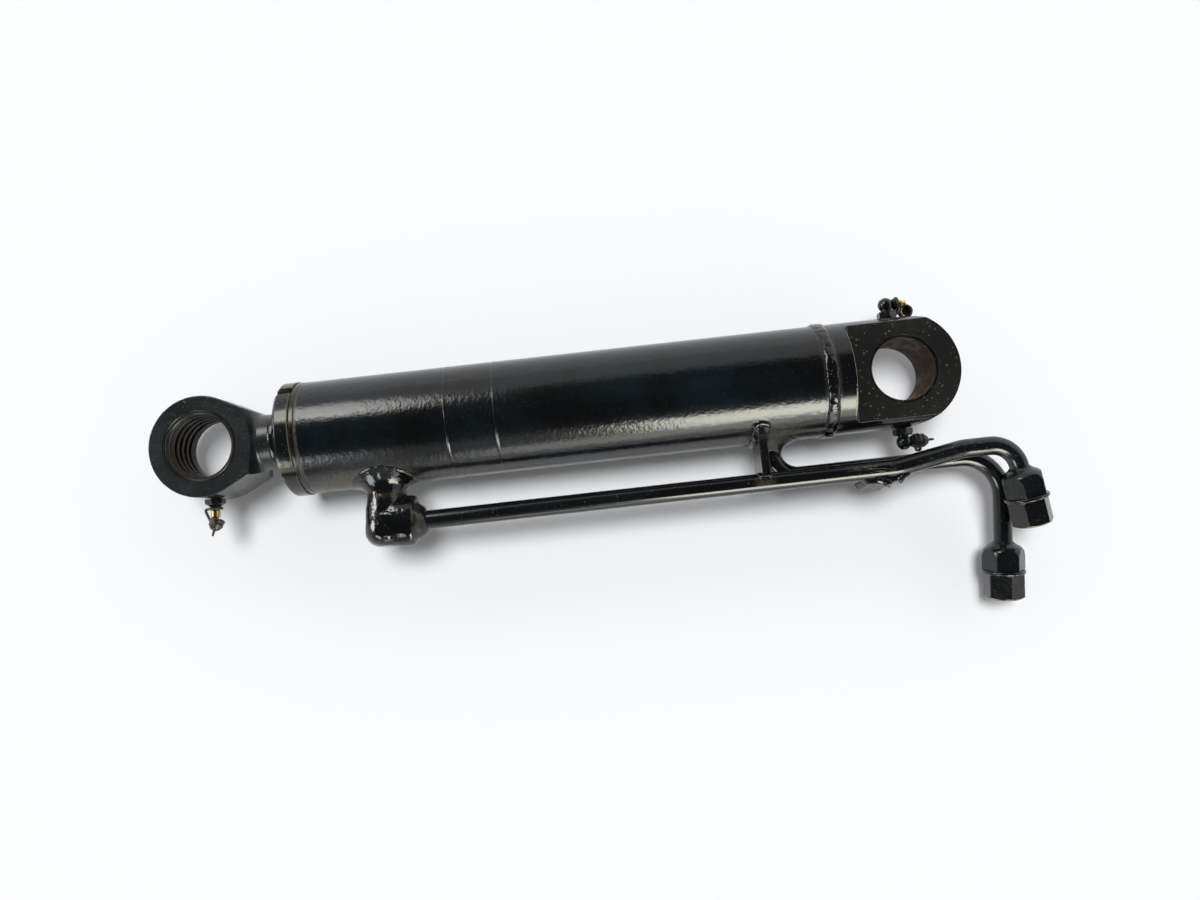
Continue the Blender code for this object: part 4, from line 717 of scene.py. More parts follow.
    def marked(self, number: int, test: Callable[[Vector, Vector], bool]) -> "Form":
        """Gives a finish's number to the faces whose centre and normal pass the test."""
        while len(self.object.data.materials) <= number:
            self.object.data.materials.append(None)
        for polygon in self.object.data.polygons:
            if test(polygon.center, polygon.normal):
                polygon.material_index = number
        return self

    def piece(
        self,
        name: str,
        finish: Finish,
        body: Body,
        replaces: Sequence[str] = (),
        others: Sequence[Finish] = (),
        flat: bool = True,
    ) -> bpy.types.Object:
        """Makes the shape a piece of the object.

        Args:
            name: The piece's name.
            finish: Its surface.
            body: The body that it rides on.
            replaces: The CAD nodes that it stands for.
            others: The finishes of faces numbered 1 and up, the same as the rest if left out.
            flat: Whether its large faces are kept flat in the shading.

        Returns:
            The piece.
        """
        data = self.object.data
        data.shade_smooth()
        data.set_sharp_from_angle(angle=SMOOTH_ANGLE)
        if flat:
            self._modify("WEIGHTED_NORMAL", keep_sharp=True)
            data = self.object.data
        indices = [min(polygon.material_index, len(others)) for polygon in data.polygons]
        data.materials.clear()
        for surface in (finish, *others):
            data.materials.append(surface.material())
        data.polygons.foreach_set("material_index", indices)
        self.object.name = name
        data.name = name
        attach(self.object, body.value)
        if replaces:
            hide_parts(*replaces)
        LOG.info("%s: %d faces, on %s", name, len(data.polygons), body.value)
        return self.object


class PathSweep:
    """Geometry Nodes that lay a tube or a weld bead along a path.

    The inputs are the path, the section's half height and half width, its number of sides,
    and the height, scale and seed of the lumps on it.
    """

    def __init__(self) -> None:
        """Builds the tree."""
        tree = bpy.data.node_groups.new("sweep_along_path", "GeometryNodeTree")
        self.tree = tree
        shape = {"in_out": "INPUT", "socket_type": "NodeSocketGeometry"}
        tree.interface.new_socket("Path", **shape)
        for name in ("Half Height", "Half Width", "Lump Height", "Lump Scale", "Seed"):
            tree.interface.new_socket(name, in_out="INPUT", socket_type="NodeSocketFloat")
        tree.interface.new_socket("Sides", in_out="INPUT", socket_type="NodeSocketInt")
        tree.interface.new_socket("Finish", in_out="INPUT", socket_type="NodeSocketMaterial")
        tree.interface.new_socket("Result", in_out="OUTPUT", socket_type="NodeSocketGeometry")
        given = self._node("NodeGroupInput", {}, {})
        curve = self._node("GeometryNodeMeshToCurve", {}, {0: given.outputs["Path"]})
        circle = self._node(
            "GeometryNodeCurvePrimitiveCircle", {}, {"Resolution": given.outputs["Sides"], "Radius": 1.0}
        )
        size = self._node(
            "ShaderNodeCombineXYZ", {}, {0: given.outputs["Half Height"], 1: given.outputs["Half Width"], 2: 1.0}
        )
        section = self._node("GeometryNodeTransform", {}, {0: circle.outputs[0], "Scale": size.outputs[0]})
        skin = self._node(
            "GeometryNodeCurveToMesh", {}, {0: curve.outputs[0], 1: section.outputs[0], "Fill Caps": True}
        )
        lumps = self._node(
            "ShaderNodeTexNoise",
            {"noise_dimensions": "4D"},
            {"W": given.outputs["Seed"], "Scale": given.outputs["Lump Scale"], "Detail": 2.0},
        )
        middle = self._node("ShaderNodeMath", {"operation": "SUBTRACT"}, {0: lumps.outputs[0], 1: 0.5})
        rise = self._node(
            "ShaderNodeMath", {"operation": "MULTIPLY"}, {0: middle.outputs[0], 1: given.outputs["Lump Height"]}
        )
        outward = self._node("GeometryNodeInputNormal", {}, {})
        shift = self._node(
            "ShaderNodeVectorMath", {"operation": "SCALE"}, {0: outward.outputs[0], "Scale": rise.outputs[0]}
        )
        lumpy = self._node("GeometryNodeSetPosition", {}, {0: skin.outputs[0], "Offset": shift.outputs[0]})
        real = self._node("GeometryNodeRealizeInstances", {}, {0: lumpy.outputs[0]})
        painted = self._node(
            "GeometryNodeSetMaterial", {}, {0: real.outputs[0], "Material": given.outputs["Finish"]}
        )
        self._node("NodeGroupOutput", {}, {0: painted.outputs[0]})

    def _node(self, kind: str, settings: dict[str, Any], sockets: dict[Any, Any]) -> bpy.types.Node:
        """Adds one node to the tree, with its settings, values and links."""
        made = self.tree.nodes.new(kind)
        for key, value in settings.items():
            setattr(made, key, value)
        for key, value in sockets.items():
            if isinstance(value, bpy.types.NodeSocket):
                self.tree.links.new(value, made.inputs[key])
            else:
                made.inputs[key].default_value = value
        return made

    def lay(
        self,
        path: Sequence[Vector],
        half: tuple[float, float],
        finish: Finish,
        sides: int = 32,
        lumps: tuple[float, float, float] = (0.0, 1.0, 0.0),
        closed: bool = False,
    ) -> Form:
        """Sweeps a section along a path.

        Args:
            path: The points of the path.
            half: The section's half height and half width, in metres.
            finish: The surface that Set Material gives it.
            sides: The number of sides of the section.
            lumps: The height of the lumps in metres, their scale to the metre, and their seed.
            closed: Whether the path runs back to its start.

        Returns:
            The shape, as a plain mesh.
        """
        mesh = bmesh.new()
        points = [mesh.verts.new(point) for point in path]
        for first, second in zip(points, points[1:] + points[:1] if closed else points[1:]):
            mesh.edges.new((first, second))
        form = Form(mesh)
        modifier = form.object.modifiers.new("sweep", "NODES")
        modifier.node_group = self.tree
        values = {
            "Half Height": half[0],
            "Half Width": half[1],
            "Lump Height": lumps[0],
            "Lump Scale": lumps[1],
            "Seed": lumps[2],
            "Sides": sides,
            "Finish": finish.material(),
        }
        for item in self.tree.interface.items_tree:
            if item.name in values:
                modifier[item.identifier] = values[item.name]
        return form._settle()


# The cylinder's main places along X, from the base pin


@dataclass(frozen=True)
class Layout:
    """Sizes that several sub-assemblies share."""

    tube_radius: float = 0.055
    bore_radius: float = 0.045
    rod_radius: float = 0.0275
    pin_radius: float = 0.030
    gap: float = 0.0003
    base_weld_x: float = -0.075
    spigot_end_x: float = -0.092
    piston_head_x: float = -0.186
    gland_nose_x: float = -0.488
    tube_head_x: float = -0.579
    thread_radius: float = 0.048
    flange_x: float = -0.5846
    gland_face_x: float = -0.6001
    rod_weld_x: float = -0.6106
    eye_x: float = -0.6781
    head_port_x: float = -0.5085
    base_port_x: float = -0.129
    pipe_z: float = 0.015
    long_drop: float = 0.0933
    short_drop: float = 0.0895
    pipe_radius: float = 0.009

    @property
    def head_port(self) -> Matrix:
        """The placement of the port at the gland end."""
        return port_frame(self.head_port_x, math.atan2(self.pipe_z, self.long_drop))

    @property
    def base_port(self) -> Matrix:
        """The placement of the port at the base end."""
        return port_frame(self.base_port_x, math.atan2(-self.pipe_z, self.short_drop))


PLAN = Layout()


def saddle(place: Matrix, foot: float, neck: float, height: float, rim: float) -> Form:
    """A flared boss whose foot follows the round tube.

    Args:
        place: The port's frame.
        foot: The foot's radius.
        neck: The neck's radius.
        height: The height of its flat top above the tube.
        rim: The height of the foot's edge.

    Returns:
        The boss, which runs a little way into the tube.
    """
    facets, rows = 96, 14
    top = PLAN.tube_radius + height

    def level(radius: float, lift: float) -> list[Vector]:
        """One loop of the flare."""
        points = []
        for step in range(facets):
            angle = 2 * math.pi * step / facets
            across, around = radius * math.cos(angle), radius * math.sin(angle)
            seat = math.sqrt(PLAN.tube_radius**2 - around**2)
            low = seat + rim
            points.append(Vector((low + (top - low) * lift if lift >= 0.0 else seat - 0.003, across, around)))
        return points

    sections = [level(foot, -1.0)]
    for row in range(rows + 1):
        sweep = row / rows * math.pi / 2
        sections.append(level(neck + (foot - neck) * (1 - math.sin(sweep)), 1 - math.cos(sweep)))
    return Form.lofted(sections, place)


# Sub-assemblies


@dataclass
class Tube:
    """The barrel tube with its raised lines, the weld to the base, and the two port fittings."""

    ridges: tuple[float, float] = (-0.4382, -0.3919)
    ridge_height: float = 0.00035
    ridge_half: float = 0.0009
    weld_half: float = 0.0052
    weld_groove: float = 0.0045
    elbow_foot: float = 0.0335
    elbow_neck: float = 0.0194
    elbow_height: float = 0.0612
    elbow_near: float = 0.0300
    elbow_far: float = 0.0180
    elbow_depth: float = 0.038
    elbow_corner: float = 0.014
    elbow_lean: float = math.radians(4.5)
    collar_length: float = 0.009
    collar_radius: float = 0.0225
    boss_foot: float = 0.028
    boss_neck: float = 0.0097
    boss_height: float = 0.010

    def paint(self) -> Paint:
        """The tube's paint, with the dust near its ends and fittings."""
        head, base = PLAN.head_port_x, PLAN.base_port_x
        return Paint(
            "tube_paint",
            cast=(0.0032, 0.0074, 0.0100),
            peel=0.00015,
            specks=0.05,
            dust=(
                Spot((PLAN.tube_head_x, 0.0, 0.0), (0.003, FAR, FAR), 0.7),
                Spot((PLAN.base_weld_x - 0.006, 0.0, 0.0), (0.003, FAR, FAR), 0.25),
                Spot((head, -0.046, 0.030), (0.048, 0.013, 0.022), 1.0),
                Spot((head - 0.030, -0.050, 0.020), (0.060, 0.024, 0.034), 0.85),
                Spot((head - 0.010, -0.034, 0.042), (0.060, 0.014, 0.016), 0.15),
                Spot((head + 0.060, -0.052, 0.012), (0.050, 0.012, 0.030), 0.5),
                Spot((base, -0.046, 0.020), (0.045, 0.016, 0.030), 0.6),
                Spot((base + 0.01, -0.055, 0.0), (0.34, 0.016, 0.034), 0.34),
            ),
            film=0.01,
        )

    def tube(self) -> None:
        """The tube itself."""
        radius, bore = PLAN.tube_radius, PLAN.bore_radius
        outline = [(PLAN.tube_head_x, PLAN.thread_radius), (PLAN.tube_head_x, radius)]
        for x in self.ridges:
            crown = radius + self.ridge_height
            outline += [(x - self.ridge_half, radius), (x - self.ridge_half / 3, crown)]
            outline += [(x + self.ridge_half / 3, crown), (x + self.ridge_half, radius)]
        outline += [
            (PLAN.base_weld_x - self.weld_half, radius),
            (PLAN.base_weld_x - PLAN.gap, radius - self.weld_groove),
            (PLAN.base_weld_x - PLAN.gap, bore),
            (PLAN.tube_head_x + 0.041, bore),
            (PLAN.tube_head_x + 0.038, PLAN.thread_radius),
        ]
        form = Form.turned(eased(outline, 0.0004, 2))
        form.cut(Form.rod(0.02, 0.1, 0.006, PLAN.head_port), Form.rod(0.02, 0.1, 0.006, PLAN.base_port))
        form.piece("tube_skin", self.paint(), Body.BARREL, ["barrel_tube"])

    def weld(self, sweep: PathSweep) -> None:
        """The rippled bead between tube and base, with the lump where it was closed."""
        radius = PLAN.tube_radius
        paint = Paint("weld_paint", waves=0.0005, wave_scale=190.0, roughness=0.15, film=0.03, specks=0.5)
        steps = 360
        ring = [
            Vector((PLAN.base_weld_x, radius * math.sin(2 * math.pi * s / steps), radius * math.cos(2 * math.pi * s / steps)))
            for s in range(steps)
        ]
        bead = sweep.lay(ring, (0.0056, 0.0020), paint, 24, (0.0009, 150.0, 3.0), closed=True)
        bead.lumped(0.0006, 210.0).piece("base_weld", paint, Body.BARREL, ["base_weld_bead"], flat=False)
        close = [Vector((PLAN.base_weld_x, radius * math.sin(a), radius * math.cos(a))) for a in
                 [math.radians(-46 + 2 * number) for number in range(-5, 6)]]
        lump = sweep.lay(close, (0.0062, 0.0023), paint, 20, (0.0012, 120.0, 8.0))
        lump.cast(0.0007, 6).piece("base_weld_end", paint, Body.BARREL, flat=False)

    def elbow(self) -> None:
        """The rough cast elbow under the gland end."""
        place = PLAN.head_port
        top = PLAN.tube_radius + 0.011
        bottom = PLAN.tube_radius + self.elbow_height
        shell = saddle(place, self.elbow_foot, self.elbow_neck, 0.0115, 0.0009)
        seat = Matrix.Translation((top, 0.0, 0.0))
        lean = place @ seat @ Matrix.Rotation(-self.elbow_lean, 4, "Z") @ seat.inverted()
        neck = Form.rod(top - 0.012, bottom, self.elbow_neck, lean).rounded(0.0145, 6)
        middle, half, deep = bottom - 0.0245, 0.0245, self.elbow_depth / 2 + 0.001
        oval = []
        for step in range(48):
            along, across = math.cos(step * math.pi / 24), math.sin(step * math.pi / 24)
            reach = (abs(along) ** 2.3 + abs(across) ** 2.3) ** (-1 / 2.3)
            oval.append((middle + half * along * reach, deep * across * reach))
        side = lean @ Matrix.Rotation(math.pi / 2, 4, "X")
        block = Form.prism(oval, -self.elbow_near, self.elbow_far * 0.2, side).rounded(0.0035, 3)
        axis = facing((PLAN.head_port_x, -PLAN.long_drop, PLAN.pipe_z), X_AXIS)
        end = self.elbow_near + self.collar_length
        collar = Form.turned(
            eased([(0.0, 0.0), (0.0, 0.02), (0.0225, self.collar_radius), (end, 0.0115), (end, 0.0)], 0.004), axis
        )
        side = self.elbow_depth / 2 - 0.0015
        limits = [(PLAN.tube_radius, 0.0), (bottom - 0.0015, 0.0), (bottom - 0.0015, 0.06), (PLAN.tube_radius, 0.06)]
        collar.keep(Form.prism(limits, -side, side, place))
        shell.cast(0.0008, 16, neck, block, collar)
        shell.lumped(0.0009, 55.0).lumped(0.0002, 150.0)
        shell.cut(Form.rod(-0.60, -0.40, PLAN.tube_radius - 0.0004))
        paint = Paint(
            "cast_elbow_paint",
            roughness=0.12,
            peel=0.00006,
            waves=0.00045,
            wave_scale=150.0,
            specks=0.2,
            dust=(
                Spot((PLAN.head_port_x - 0.034, -0.045, 0.033), (0.011, 0.012, 0.016), 0.9),
                Spot((PLAN.head_port_x + 0.036, -0.048, 0.026), (0.012, 0.012, 0.020), 0.9),
                Spot((PLAN.head_port_x + 0.030, -0.093, 0.015), (0.006, 0.030, 0.030), 0.55),
                Spot((PLAN.head_port_x, -0.066, 0.010), (0.040, 0.006, 0.040), 0.3),
            ),
            chips=(Spot((PLAN.head_port_x + 0.026, -0.108, 0.033), (0.003, 0.004, 0.004), 0.8),),
        )
        shell.piece("gland_elbow_cast", paint, Body.BARREL, ["gland_port_elbow"], flat=False)

    def boss(self) -> None:
        """The flared boss over the base-side port."""
        form = saddle(PLAN.base_port, self.boss_foot, self.boss_neck, self.boss_height + 0.004, 0.0006)
        form.cut(Form.rod(0.0, 0.1, PLAN.pipe_radius + 0.0002, PLAN.base_port))
        form.cut(Form.rod(-0.2, -0.05, PLAN.tube_radius - 0.0004))
        paint = Paint(
            "boss_paint", waves=0.0003, dust=(Spot((PLAN.base_port_x, -0.052, 0.0), (0.040, 0.010, 0.040), 0.75),)
        )
        form.piece("base_port_flare", paint, Body.BARREL, ["base_port_boss"], flat=False)

    def build(self, sweep: PathSweep) -> None:
        """Makes the tube and what is fixed to it."""
        self.tube()
        self.weld(sweep)
        self.elbow()
        self.boss()


@dataclass
class BaseLug:
    """The base end with its milled flats, its bore and its bush."""

    thickness: float = 0.057
    flat_length: float = 0.053
    flat_corner: float = 0.006
    bush_wall: float = 0.0025

    def lug(self) -> None:
        """The lug, turned, milled and bored."""
        radius, bore = PLAN.tube_radius, PLAN.bore_radius
        reach = radius * 1.2
        weld = PLAN.base_weld_x
        outline = [
            (PLAN.spigot_end_x, 0.0),
            (PLAN.spigot_end_x, bore - 0.0015),
            (PLAN.spigot_end_x + 0.0012, bore - PLAN.gap),
            (weld + PLAN.gap, bore - PLAN.gap),
            (weld + PLAN.gap, radius - 0.0045),
            (weld + 0.0052, radius),
            (reach, radius),
            (reach, 0.0),
        ]
        form = Form.turned(outline)
        end = arc((0.0, 0.0), radius, -math.pi / 2, math.pi / 2, 64)
        plan = [(-0.2, -reach), (-0.0012, -reach), *end, (-0.0012, reach), (-0.2, reach)]
        form.keep(Form.prism(plan, -reach, reach))
        half = self.thickness / 2
        for sign in (1, -1):
            curve = arc((-self.flat_length + self.flat_corner, half + self.flat_corner), self.flat_corner, -math.pi / 2, -math.pi, 10)
            flat = [(reach * 1.1, half), *curve, (-self.flat_length, reach), (reach * 1.1, reach)]
            side = Matrix.Rotation(math.pi / 2, 4, "X")
            form.cut(Form.prism([(x, sign * z) for x, z in flat], -reach, reach, side))
        upright = facing((0.0, 0.0, 0.0), Z_AXIS, X_AXIS)
        form.cut(Form.rod(-reach, reach, PLAN.pin_radius + self.bush_wall + PLAN.gap, upright))
        form.rounded(0.0008, 3, math.radians(32))
        form.marked(0, lambda centre, normal: True)
        form.marked(1, lambda centre, normal: abs(normal.z) > 0.99 and centre.x > -self.flat_length - 0.001)
        # Faces 2 are the rounded step at the cheek's edge, painted pale along it as a highlight.
        form.marked(2, lambda centre, normal: abs(centre.x + self.flat_length) < 0.0012 and abs(centre.z) > half + 0.004 and normal.x < 0.95)
        paint = Paint(
            "lug_paint",
            specks=0.15,
            dust=(Spot((weld + 0.006, 0.0, 0.0), (0.003, FAR, FAR), 0.25),),
            # These primer-coloured chips along the cheek's step edge are partly real chipping and partly a painted
            # highlight along that edge.
            chips=(Spot((-self.flat_length - 0.0008, -0.030, 0.045), (0.0014, 0.034, 0.026), 0.74),),
            chip_scale=650.0,
        )
        satin = Paint(
            "lug_cheek_paint",
            colour=(0.0062, 0.0068, 0.0060),
            cast=(0.0092, 0.0100, 0.0088),
            roughness=0.36,
            peel=0.00003,
            specks=0.8,
            speck_scale=300.0,
            film=0.05,
            dust=(Spot((0.0, 0.0, half), (0.038, 0.038, 0.004), 0.10),),
        )
        form.piece("base_lug", paint, Body.BARREL, ["base_end"], others=[satin, STEP_HIGHLIGHT])

    def bush(self) -> None:
        """The bush, a little below the lug's flats."""
        half = self.thickness / 2 - 0.001
        inner, outer = PLAN.pin_radius, PLAN.pin_radius + self.bush_wall
        outline = [(-half, inner), (-half, outer), (half, outer), (half, inner)]
        form = Form.turned(eased(outline, 0.0009), facing((0.0, 0.0, 0.0), Z_AXIS, X_AXIS))
        form.marked(1, lambda centre, normal: centre.xy.length > inner + 0.0006)
        form.piece("base_bush_ring", BUSH_BORE, Body.BARREL, ["base_bush"], others=[BUSH_END])

    def build(self) -> None:
        """Makes the lug and its bush."""
        self.lug()
        self.bush()


@dataclass
class GlandHead:
    """The notched flange at the rod's end of the tube, its stop ring and the wiper."""

    flange_radius: float = 0.056
    bevel: float = 0.003
    notches: int = 4
    notch_turn: float = math.radians(39.5)
    notch_width: float = 0.010
    notch_depth: float = 0.005

    def gland(self) -> None:
        """The screwed-in head."""
        face, back = PLAN.gland_face_x, PLAN.flange_x
        clear = PLAN.rod_radius + 0.0006
        nose, land = 0.039, PLAN.bore_radius - PLAN.gap
        thread = PLAN.thread_radius - PLAN.gap
        outline = [
            (face, PLAN.rod_radius + 0.0061),
            (face, self.flange_radius - self.bevel),
            (face + self.bevel, self.flange_radius),
            (back, self.flange_radius),
            (back, thread),
            (-0.5416, thread),
            (-0.5386, land),
            (-0.527, land),
            (-0.525, nose),
            (PLAN.gland_nose_x, nose),
            (PLAN.gland_nose_x, clear),
            (face + 0.009, clear),
            (face + 0.009, PLAN.rod_radius + 0.0061),
        ]
        form = Form.turned(eased(outline, 0.0007))
        for number in range(self.notches):
            turn = Matrix.Rotation(self.notch_turn + number * 2 * math.pi / self.notches, 4, "X")
            half = self.notch_width / 2
            low, high = self.flange_radius - self.notch_depth, 0.08
            plan = [(face - 0.01, -half), (back + 0.003, -half), (back + 0.003, half), (face - 0.01, half)]
            form.cut(Form.prism(plan, low, high, turn))
        form.rounded(0.0006, 3, math.radians(50))
        paint = Paint(
            "gland_paint",
            grain=0.3,
            roughness=0.17,
            waves=0.00015,
            specks=0.5,
            dust=(
                Spot((back, 0.0, 0.0), (0.0014, FAR, FAR), 0.8),
                *(
                    Spot(
                        ((face + back) / 2, 0.0531 * math.sin(-a), 0.0531 * math.cos(a)),
                        (0.02, 0.0075, 0.0075),
                        0.95,
                    )
                    for a in [self.notch_turn + n * math.pi / 2 for n in range(self.notches)]
                ),
            ),
            chips=(
                Spot((face + 0.0015, -0.028, 0.048), (0.005, 0.014, 0.014), 0.66),
                Spot((face + 0.009, -0.030, 0.0465), (0.008, 0.007, 0.007), 0.52),
            ),
            chip_scale=700.0,
        )
        form.piece("gland_head", paint, Body.BARREL, ["gland"], others=[EDGE])

    def stop_ring(self) -> None:
        """The dusty ring between flange and tube."""
        start, end = PLAN.flange_x + PLAN.gap, PLAN.tube_head_x - PLAN.gap
        inner, outer = PLAN.thread_radius + PLAN.gap, PLAN.tube_radius
        form = Form.turned(eased([(start, inner), (start, outer), (end, outer), (end, inner)], 0.0011, 4))
        paint = Paint("stop_ring_paint", roughness=0.2, film=0.06, dust=(
            Spot((start, 0.0, 0.0), (0.0010, FAR, FAR), 0.8), Spot((end, 0.0, 0.0), (0.0010, FAR, FAR), 0.8)))
        form.piece("gland_spacer_ring", paint, Body.BARREL, ["gland_stop_ring"])

    def wiper(self) -> None:
        """The wiper seal round the rod."""
        face, touch = PLAN.gland_face_x, PLAN.rod_radius + PLAN.gap
        outer = PLAN.rod_radius + 0.0058
        outline = [(face + 0.0087, touch + 0.0018), (face - 0.0002, touch), (face - 0.0002, touch + 0.0018),
                   (face + 0.003, outer), (face + 0.0087, outer)]
        Form.turned(eased(outline, 0.0005)).piece("gland_wiper_ring", RUBBER, Body.BARREL, ["gland_wiper_seal"])

    def build(self) -> None:
        """Makes the head, the ring and the wiper."""
        self.gland()
        self.stop_ring()
        self.wiper()


@dataclass
class RodEnd:
    """The chromed rod, its weld, the forged eye, and the eye's bush and dust seals."""

    radius: float = 0.049
    thickness: float = 0.063
    taper: float = math.radians(27)
    flare_radius: float = 0.058
    flare_length: float = 0.010
    bush_wall: float = 0.005
    tap_turn: float = math.radians(2)

    def rod(self) -> None:
        """The rod with its piston spigot and thread."""
        weld, head, edge = PLAN.rod_weld_x, PLAN.piston_head_x, 0.0015
        radius = PLAN.rod_radius
        outline = [
            (weld + 0.00015, 0.0),
            (weld + 0.00015, radius - 0.0025),
            (weld + 0.0035, radius),
            (head - edge, radius),
            (head, radius - edge),
            (head, 0.020),
            (-0.1303, 0.020),
            (-0.1303, 0.018),
            (-0.1015, 0.018),
            (-0.100, 0.0165),
            (-0.100, 0.0),
        ]
        Form.turned(eased(outline, 0.0004, 2)).piece("rod_chromed", CHROME, Body.ROD, ["piston_rod"])

    def weld(self, sweep: PathSweep) -> None:
        """The bead between shank and rod."""
        paint = Paint("rod_weld_paint", waves=0.0003, wave_scale=200.0)
        radius, steps = PLAN.rod_radius, 200
        ring = [
            Vector((PLAN.rod_weld_x, radius * math.sin(2 * math.pi * s / steps), radius * math.cos(2 * math.pi * s / steps)))
            for s in range(steps)
        ]
        bead = sweep.lay(ring, (0.0037, 0.0014), paint, 16, (0.0005, 200.0, 5.0), closed=True)
        bead.piece("rod_weld", paint, Body.ROD, ["rod_eye_weld_bead"], flat=False)

    def eye(self) -> None:
        """The eye: flat cheeks that break off into a flared round shank."""
        centre, radius = PLAN.eye_x, PLAN.rod_radius
        flare_end = centre + self.radius + self.flare_length / 2
        flare = []
        for step in range(13):
            share = step / 12
            rise = (self.flare_radius - radius) * (1 - math.sqrt(1 - (1 - share) ** 2))
            flare.append((flare_end - self.flare_length * (1 - share), radius + rise))
        weld = PLAN.rod_weld_x
        outline = [
            (centre - self.flare_radius, 0.0),
            (centre - self.flare_radius, self.flare_radius),
            *flare,
            (weld - 0.0035, radius),
            (weld - 0.00015, radius - 0.0025),
            (weld - 0.00015, 0.0),
        ]
        form = Form.turned(outline)
        angle = math.pi / 2 - self.taper
        shank = radius + 0.0012
        corner = (self.radius * math.cos(angle), self.radius * math.sin(angle))
        foot = corner[0] + (corner[1] - shank) / math.tan(self.taper)
        end = arc((centre, 0.0), self.radius, angle, 2 * math.pi - angle, 96)
        reach = PLAN.gland_face_x
        plan = [(reach, shank), (centre + foot, shank), *end, (centre + foot, -shank), (reach, -shank)]
        half = self.thickness / 2
        form.keep(Form.prism(plan, -half, half).rounded(0.0014, 3, math.radians(60)))
        upright = facing((centre, 0.0, 0.0), Z_AXIS, X_AXIS)
        form.cut(Form.rod(-0.07, 0.07, PLAN.pin_radius + self.bush_wall + PLAN.gap, upright))
        form.rounded(0.0009, 3, math.radians(25))
        paint = Paint(
            "eye_paint",
            colour=(0.0060, 0.0075, 0.0085),
            cast=(0.0115, 0.0150, 0.0165),
            roughness=0.27,
            peel=0.00003,
            specks=0.4,
            film=0.03,
            waves=0.0002,
            wave_scale=60.0,
            dust=(
                Spot((centre + 0.052, 0.022, 0.016), (0.016, 0.012, 0.020), 0.4),
                Spot((weld, 0.0, 0.0), (0.006, FAR, FAR), 0.25),
            ),
            chips=(Spot((centre + 0.043, -0.033, 0.030), (0.004, 0.004, 0.004), 0.6),),
            scratches=(Spot((centre + 0.030, -0.045, 0.010), (0.016, 0.012, 0.02), 0.8),),
        )
        form.piece("rod_eye_forging", paint, Body.ROD, ["rod_eye"], others=[EdgeWearAndHighlight("eye_edge", share=0.3)])

    def bush(self) -> None:
        """The eye's bush with its grease grooves."""
        half = self.thickness / 2 - 0.0064
        inner, outer = PLAN.pin_radius, PLAN.pin_radius + self.bush_wall
        outline = [(-half, inner), (-half, outer), (half, outer), (half, inner)]
        pitch = 2 * half / 5
        for number in range(4):
            middle = half - pitch * (number + 1)
            outline += [(middle + 0.0022, inner), (middle + 0.0016, inner + 0.0022)]
            outline += [(middle - 0.0016, inner + 0.0022), (middle - 0.0022, inner)]
        form = Form.turned(eased(outline, 0.0006, 3), facing((PLAN.eye_x, 0.0, 0.0), Z_AXIS, X_AXIS))
        form.piece("rod_eye_bush_ring", EYE_BORE, Body.ROD, ["rod_eye_bush"])

    def dust_seals(self) -> None:
        """The two lipped rings at the ends of the bush."""
        for sign, side in ((1, "front"), (-1, "back")):
            outward = facing((PLAN.eye_x, 0.0, 0.0), Z_AXIS * sign, X_AXIS)
            end = self.thickness / 2 - PLAN.gap
            start = end - 0.0055
            inner, outer = PLAN.pin_radius + PLAN.gap, PLAN.pin_radius + self.bush_wall
            outline = [
                (start, inner), (start, outer), (end, outer), (end - 0.0012, outer - 0.0012),
                (end, outer - 0.0026), (end, inner + 0.0016), (end - 0.0013, inner),
            ]
            form = Form.turned(eased(outline, 0.0004, 2), outward)
            form.piece(f"rod_eye_seal_{side}", SEAL_LIP, Body.ROD, [f"rod_eye_dust_seal_{side}"])

    def build(self, sweep: PathSweep) -> None:
        """Makes the rod and its eye."""
        self.rod()
        self.weld(sweep)
        self.eye()
        self.bush()
        self.dust_seals()


